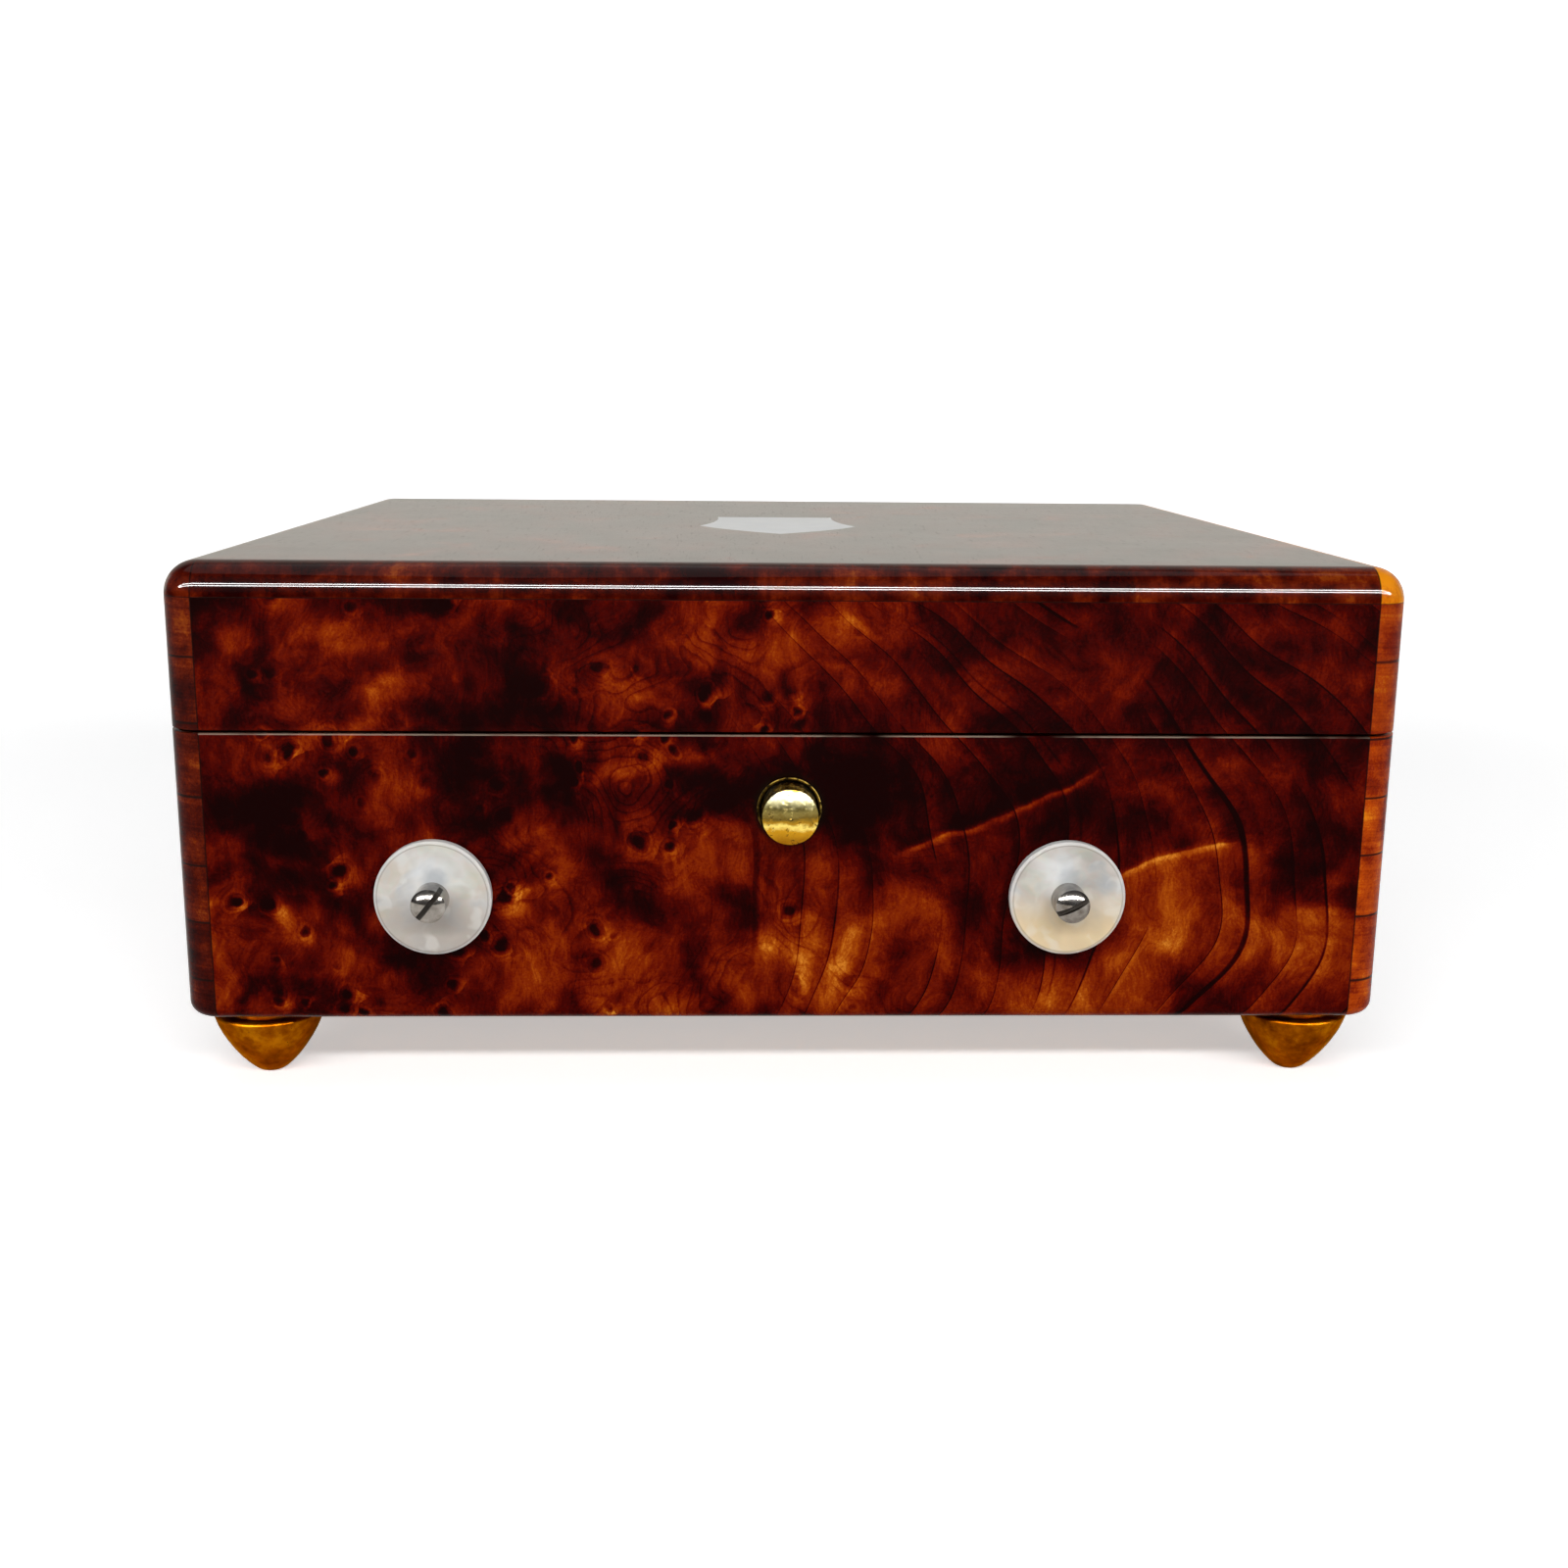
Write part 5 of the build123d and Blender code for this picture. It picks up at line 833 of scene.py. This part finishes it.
def cylinder_finish():
    """The brass barrel that carries the music, with steel pins."""
    metal = Finish("pinned_brass")
    from_axis = metal.distance(metal.stretched(metal.place, 0, 1, 1), (0, ARBOR_Y, ARBOR_Z))
    pins = from_axis.rise(CYLINDER_RADIUS + 0.03, CYLINDER_RADIUS + 0.08)
    cloud = metal.clouds(metal.drift(metal.place, 6, 4), 7, 4)
    turned = metal.clouds(metal.stretched(metal.place, 1.0, 0.03, 0.03), 0.18, 2)
    brass = metal.ramp(cloud * 0.6 + turned * 0.4, (0.3, (168, 122, 52)), (0.7, (226, 182, 98)))
    steel = metal.ramp(cloud, (0.3, (116, 118, 124)), (0.7, (176, 178, 184)))
    return metal.surface(
        Base_Color=metal.mixed(pins, brass, steel),
        Metallic=1.0,
        Roughness=0.24 + 0.16 * turned,
        Normal=metal.bump(turned, 0.01),
    )


# Glass and velvet


def glass_finish():
    """Old sheet glass: clear, faintly green, with a little dust."""
    glass = Finish("glass")
    waves = glass.clouds(glass.place, 40, 2)
    dust = glass.clouds(glass.place, 0.8, 3, 0.7).rise(0.62, 0.80)
    return glass.surface(
        Base_Color=glass.ramp(waves, (0.3, (236, 246, 240)), (0.7, (246, 252, 248))),
        Roughness=0.01 + 0.25 * dust,
        Transmission_Weight=1.0,
        IOR=1.5,
        Normal=glass.bump(waves, 0.3),
    )


def velvet_finish():
    """Short-piled velvet, deep red, with brushed light and dark."""
    cloth = Finish("velvet")
    pile = cloth.clouds(cloth.place, 0.22, 2, 0.7)
    weave = (cloth.x * 2.2 + 0.3 * cloth.clouds(cloth.place, 6, 1)).fraction()
    brushed = cloth.clouds(cloth.drift(cloth.place, 18, 14), 16)
    tone = 0.5 + 0.9 * (brushed - 0.5) + 0.4 * (pile - 0.5) + 0.05 * weave
    return cloth.surface(
        Base_Color=cloth.ramp(tone, (0.15, (52, 4, 10)), (0.5, (96, 12, 22)), (0.85, (142, 34, 42))),
        Roughness=0.85 + 0.1 * pile,
        Specular_IOR_Level=0.2,
        Sheen_Weight=0.8,
        Sheen_Roughness=0.4,
        Sheen_Tint=seen_colour(214, 120, 122),
        Normal=cloth.bump(pile + 0.2 * weave, 0.12),
    )


# Each finish with the nodes that wear it

velvet = velvet_finish()

DRESSED = [
    (
        burr_finish(),
        "front_wall back_wall left_wall right_wall lid_board lid_front_rail lid_back_rail lid_side_rails",
    ),
    (corner_banding_finish(), "body_corner_bandings lid_corner_bandings"),
    (edge_banding_finish(), "lid_edge_bandings"),
    (inner_wood_finish("inner_pine", (176, 128, 78), (142, 96, 54), (204, 158, 104)), "base_board"),
    (
        inner_wood_finish("inner_mahogany", (102, 48, 26), (70, 28, 14), (132, 70, 40)),
        "partition glass_ledges glass_beading",
    ),
    (shield_finish(), "shield_inlay"),
    (pearl_disc_finish("grey_pearl", CHANGE_X, (164, 154, 144), 1.0, 4.5), "change_disc"),
    (pearl_disc_finish("warm_pearl", PLAY_X, (222, 192, 136), -2.0, 5.0), "play_disc"),
    (button_finish(), "catch_button"),
    (collar_finish(), "catch_bush"),
    (brass_finish("old_brass", 1.0, 0.22, (0.75, 0.5, 0.12, 1)), "brass_feet"),
    (brass_finish("worn_brass", 0.45, 0.16), "hinge_lower_leaves hinge_upper_leaves winding_key"),
    (
        brass_finish("clean_brass", 0.12, 0.20),
        "bedplate barrel_drum barrel_crown_wheel great_wheel comb_base left_cock right_cock"
        " governor_cock governor_fly worm_wheel control_bushes catch_keeper catch_bracket",
    ),
    (screw_finish("change_screw_steel", CHANGE_X, 51), "change_screw"),
    (screw_finish("play_screw_steel", PLAY_X, 27), "play_screw"),
    (
        steel_finish("steel", (206, 208, 212), 0.16, (1.0, 1.0, 1.0)),
        "play_spindle change_spindle winding_arbor click cylinder_arbor governor_arbor governor_worm"
        " catch_hook hinge_lower_screws hinge_upper_screws keeper_screws bracket_screws movement_screws",
    ),
    (steel_finish("comb_steel", (176, 182, 192), 0.22, (1.0, 0.08, 1.0)), "comb"),
    (steel_finish("spring_steel", (92, 104, 138), 0.2, (1.0, 1.0, 0.1)), "mainspring catch_spring"),
    (lead_finish(), "comb_leads"),
    (cylinder_finish(), "pinned_cylinder"),
    (glass_finish(), "glass_cover"),
    (velvet, "compartment_lining lid_lining"),
]

for material, names in DRESSED:
    for name in names.split():
        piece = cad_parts[name]
        if not piece.material_slots:
            piece.data.materials.append(material)
        for slot in piece.material_slots:
            slot.material = material


def object_from(mesh, name, material):
    """A smooth object made of a mesh, in the scene."""
    data = bpy.data.meshes.new(name)
    mesh.to_mesh(data)
    mesh.free()
    for polygon in data.polygons:
        polygon.use_smooth = True
    data.materials.append(material)
    made = bpy.data.objects.new(name, data)
    bpy.context.scene.collection.objects.link(made)
    return made


# Velvet linings, in metres

LINING = 0.0015
LID_LINING_INSET = 0.0006
FIT = 0.0001
PAD_STEP = 0.003
PAD_EDGE = 0.0022


def eased(low, high, share):
    """A place between two ends, in steps that close up towards the ends."""
    return low + (high - low) * (0.75 * share + 0.25 * (0.5 - 0.5 * cos(pi * share)))


def fullness(place, low, high, across, seed):
    """How full a card is at a place: full in the middle and thin at its edges, with faint waves."""
    edge = 1.0
    for axis in across:
        near = min(place[axis] - low[axis], high[axis] - place[axis])
        edge *= min(1.0, max(near, 0.0) / PAD_EDGE) ** 0.5
    wave = noise.noise(Vector(place) * 90 + Vector((seed, 0, 0)))
    ripple = noise.noise(Vector(place) * 260 + Vector((0, seed, 0)))
    return 0.30 + 0.56 * edge + edge * (0.10 * wave + 0.03 * ripple)


def velvet_card(mesh, low, high, face, seed):
    """Adds one velvet-covered card to a mesh: flat behind, crowned and soft in front.

    Low and high are its corners, and face is the axis and the direction that it looks to."""
    axis, way = face
    across = [number for number in range(3) if number != axis]
    counts = [max(6, round((high[number] - low[number]) / PAD_STEP)) for number in across]
    base = high[axis] if way < 0 else low[axis]
    fronts = []
    backs = []
    for first in range(counts[0] + 1):
        fronts.append([])
        backs.append([])
        for second in range(counts[1] + 1):
            place = [0.0, 0.0, 0.0]
            for number, share in zip(across, (first / counts[0], second / counts[1])):
                place[number] = eased(low[number], high[number], share)
            rise = LINING * fullness(place, low, high, across, seed)
            for row, height in ((fronts[-1], rise), (backs[-1], 0.0)):
                place[axis] = base + way * height
                row.append(mesh.verts.new(place))
    for first in range(counts[0]):
        for second in range(counts[1]):
            for rows in (fronts, backs):
                near_side = rows[first][second : second + 2]
                far_side = rows[first + 1][second : second + 2]
                mesh.faces.new((near_side[0], far_side[0], far_side[1], near_side[1]))
    rim_highlight = [(first, 0) for first in range(counts[0])]
    rim_highlight += [(counts[0], second) for second in range(counts[1])]
    rim_highlight += [(first, counts[1]) for first in range(counts[0], 0, -1)]
    rim_highlight += [(0, second) for second in range(counts[1], 0, -1)]
    for (first, second), (next_first, next_second) in zip(rim_highlight, rim_highlight[1:] + rim_highlight[:1]):
        here = (fronts[first][second], backs[first][second])
        there = (backs[next_first][next_second], fronts[next_first][next_second])
        mesh.faces.new(here + there)


def velvet_object(name, cards, body, node):
    """An object made of velvet cards, which stands for a lining of the case."""
    mesh = bmesh.new()
    for number, (low, high, face) in enumerate(cards):
        velvet_card(mesh, low, high, face, 3.1 * number)
    bmesh.ops.recalc_face_normals(mesh, faces=mesh.faces)
    piece = object_from(mesh, name, velvet)
    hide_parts(node)
    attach(piece, body)


low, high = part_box("lid_lining")
lid_card_low = (low[0] + LID_LINING_INSET, low[1] + LID_LINING_INSET, low[2])
lid_card_high = (high[0] - LID_LINING_INSET, high[1] - LID_LINING_INSET, high[2])
velvet_object("lid_velvet", [(lid_card_low, lid_card_high, (2, -1))], "lid", "lid_lining")

low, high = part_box("compartment_lining")
inner_low = (low[0] + LINING, low[1] + LINING, low[2] + LINING + FIT)
inner_high = (high[0] - LINING, high[1] - LINING, high[2])
tray = [
    ((low[0] + FIT, low[1] + FIT, low[2]), (high[0] - FIT, high[1] - FIT, low[2] + LINING), (2, 1)),
    ((inner_low[0], low[1], inner_low[2]), (inner_high[0], inner_low[1], high[2]), (1, 1)),
    ((inner_low[0], inner_high[1], inner_low[2]), (inner_high[0], high[1], high[2]), (1, -1)),
    ((low[0], low[1] + FIT, inner_low[2]), (inner_low[0], high[1] - FIT, high[2]), (0, 1)),
    ((inner_high[0], low[1] + FIT, inner_low[2]), (high[0], high[1] - FIT, high[2]), (0, -1)),
]
velvet_object("compartment_velvet", tray, "case", "compartment_lining")


# Floor and backdrop, in metres

FLOOR_HALF = 3.0
SWEEP_START = 1.4
SWEEP_RADIUS = 0.9
SWEEP_STEPS = 12
BACKDROP_TOP = 3.0

# How far from the box, in millimetres, the floor starts to glow more and glows in full
GLOW_START = 280
GLOW_FULL = 900


def floor_finish():
    """White card: it looks white, and it keeps the shadow of the box. A mirror sees it a little warmer."""
    card = Finish("white_card")
    speck = card.clouds(card.place, 3)
    mirrored = card.light_path("Glossy")
    shown = (card.light_path("Camera") + 0.5 * mirrored + card.light_path("Transmission")).least(1)
    white = card.mixed(mirrored, WHITE, seen_colour(255, 248, 230))
    away = card.distance(card.stretched(card.place, 1, 1, 0), (0, 0, 0)).rise(GLOW_START, GLOW_FULL)
    return card.surface(
        Base_Color=card.ramp(speck, (0.2, (240, 240, 240)), (0.8, (246, 246, 246))),
        Roughness=0.9,
        Specular_IOR_Level=0.1,
        Emission_Color=card.mixed(shown * (0.46 + 0.54 * away), BLACK, white),
        Emission_Strength=1.0,
    )


profile = [(-FLOOR_HALF, 0.0), (SWEEP_START, 0.0)]
for step in range(1, SWEEP_STEPS + 1):
    turn = step / SWEEP_STEPS * pi / 2
    profile.append((SWEEP_START + SWEEP_RADIUS * sin(turn), SWEEP_RADIUS * (1 - cos(turn))))
profile.append((SWEEP_START + SWEEP_RADIUS, BACKDROP_TOP))
floor_mesh = bmesh.new()
left, right = [[floor_mesh.verts.new((side * FLOOR_HALF, y, z)) for y, z in profile] for side in (-1, 1)]
for number in range(len(profile) - 1):
    floor_mesh.faces.new((left[number], right[number], right[number + 1], left[number + 1]))
object_from(floor_mesh, "floor", floor_finish())


# Light, in metres and watts


def softbox(name, place, target, width, height, power):
    """A rectangular lamp that looks at a point."""
    data = bpy.data.lights.new(name, "AREA")
    data.shape = "RECTANGLE"
    data.size = width
    data.size_y = height
    data.energy = power
    lamp = bpy.data.objects.new(name, data)
    lamp.location = place
    lamp.rotation_euler = (Vector(target) - Vector(place)).to_track_quat("-Z", "Y").to_euler()
    bpy.context.scene.collection.objects.link(lamp)
    return lamp


IN_FRONT = (0.0, -0.95, 0.68)
LID_EDGE = (0.0, -0.08, 0.09)

# One strip only lights, and the other is only mirrored, as the bright line along the lid's front edge
strip = softbox("strip_in_front", IN_FRONT, LID_EDGE, 2.4, 0.10, 16)
strip.visible_glossy = False
bright_line = softbox("bright_line", IN_FRONT, LID_EDGE, 3.4, 0.17, 100)
bright_line.visible_diffuse = False
softbox("large_above", (-0.2, 0.2, 1.7), (0.0, 0.0, 0.05), 1.6, 1.4, 6)

# The room is white to the eye and through glass, and in a mirror towards the back, else grey to pale
world = bpy.data.worlds.new("studio")
bpy.context.scene.world = world
world.use_nodes = True
background = world.node_tree.nodes["Background"]
room = Finish("studio", world.node_tree)
behind = room.split(room.node("ShaderNodeTexCoord", out="Generated"))[1].rise(0.35, 0.9)
grey = room.mixed(behind, seen_colour(80, 80, 82), seen_colour(208, 200, 184))
shown = room.light_path("Camera") + room.light_path("Transmission") + room.light_path("Glossy") * behind
level = room.mixed(shown.least(1), grey, WHITE)
room.tree.links.new(level.socket, background.inputs["Color"])
background.inputs["Strength"].default_value = 1.0


# Camera

level_ahead = Vector((sin(CAMERA_YAW), cos(CAMERA_YAW), 0.0))
level_right = Vector((cos(CAMERA_YAW), -sin(CAMERA_YAW), 0.0))
ahead = cos(CAMERA_PITCH) * level_ahead - sin(CAMERA_PITCH) * Vector((0.0, 0.0, 1.0))
level_up = level_right.cross(ahead)
rolled_right = cos(CAMERA_ROLL) * level_right + sin(CAMERA_ROLL) * level_up
rolled_up = -sin(CAMERA_ROLL) * level_right + cos(CAMERA_ROLL) * level_up
camera_data = bpy.data.cameras.new("camera")
camera_data.sensor_fit = "HORIZONTAL"
camera_data.sensor_width = 36.0
camera_data.lens = CAMERA_LENS
camera_data.clip_start = 0.01
camera = bpy.data.objects.new("camera", camera_data)
turned = Matrix((rolled_right, rolled_up, -ahead)).transposed()
camera.matrix_world = Matrix.Translation(CAMERA_PLACE) @ turned.to_4x4()
bpy.context.scene.collection.objects.link(camera)
bpy.context.scene.camera = camera

bpy.context.scene.view_settings.view_transform = "Standard"

bpy.context.view_layer.update()
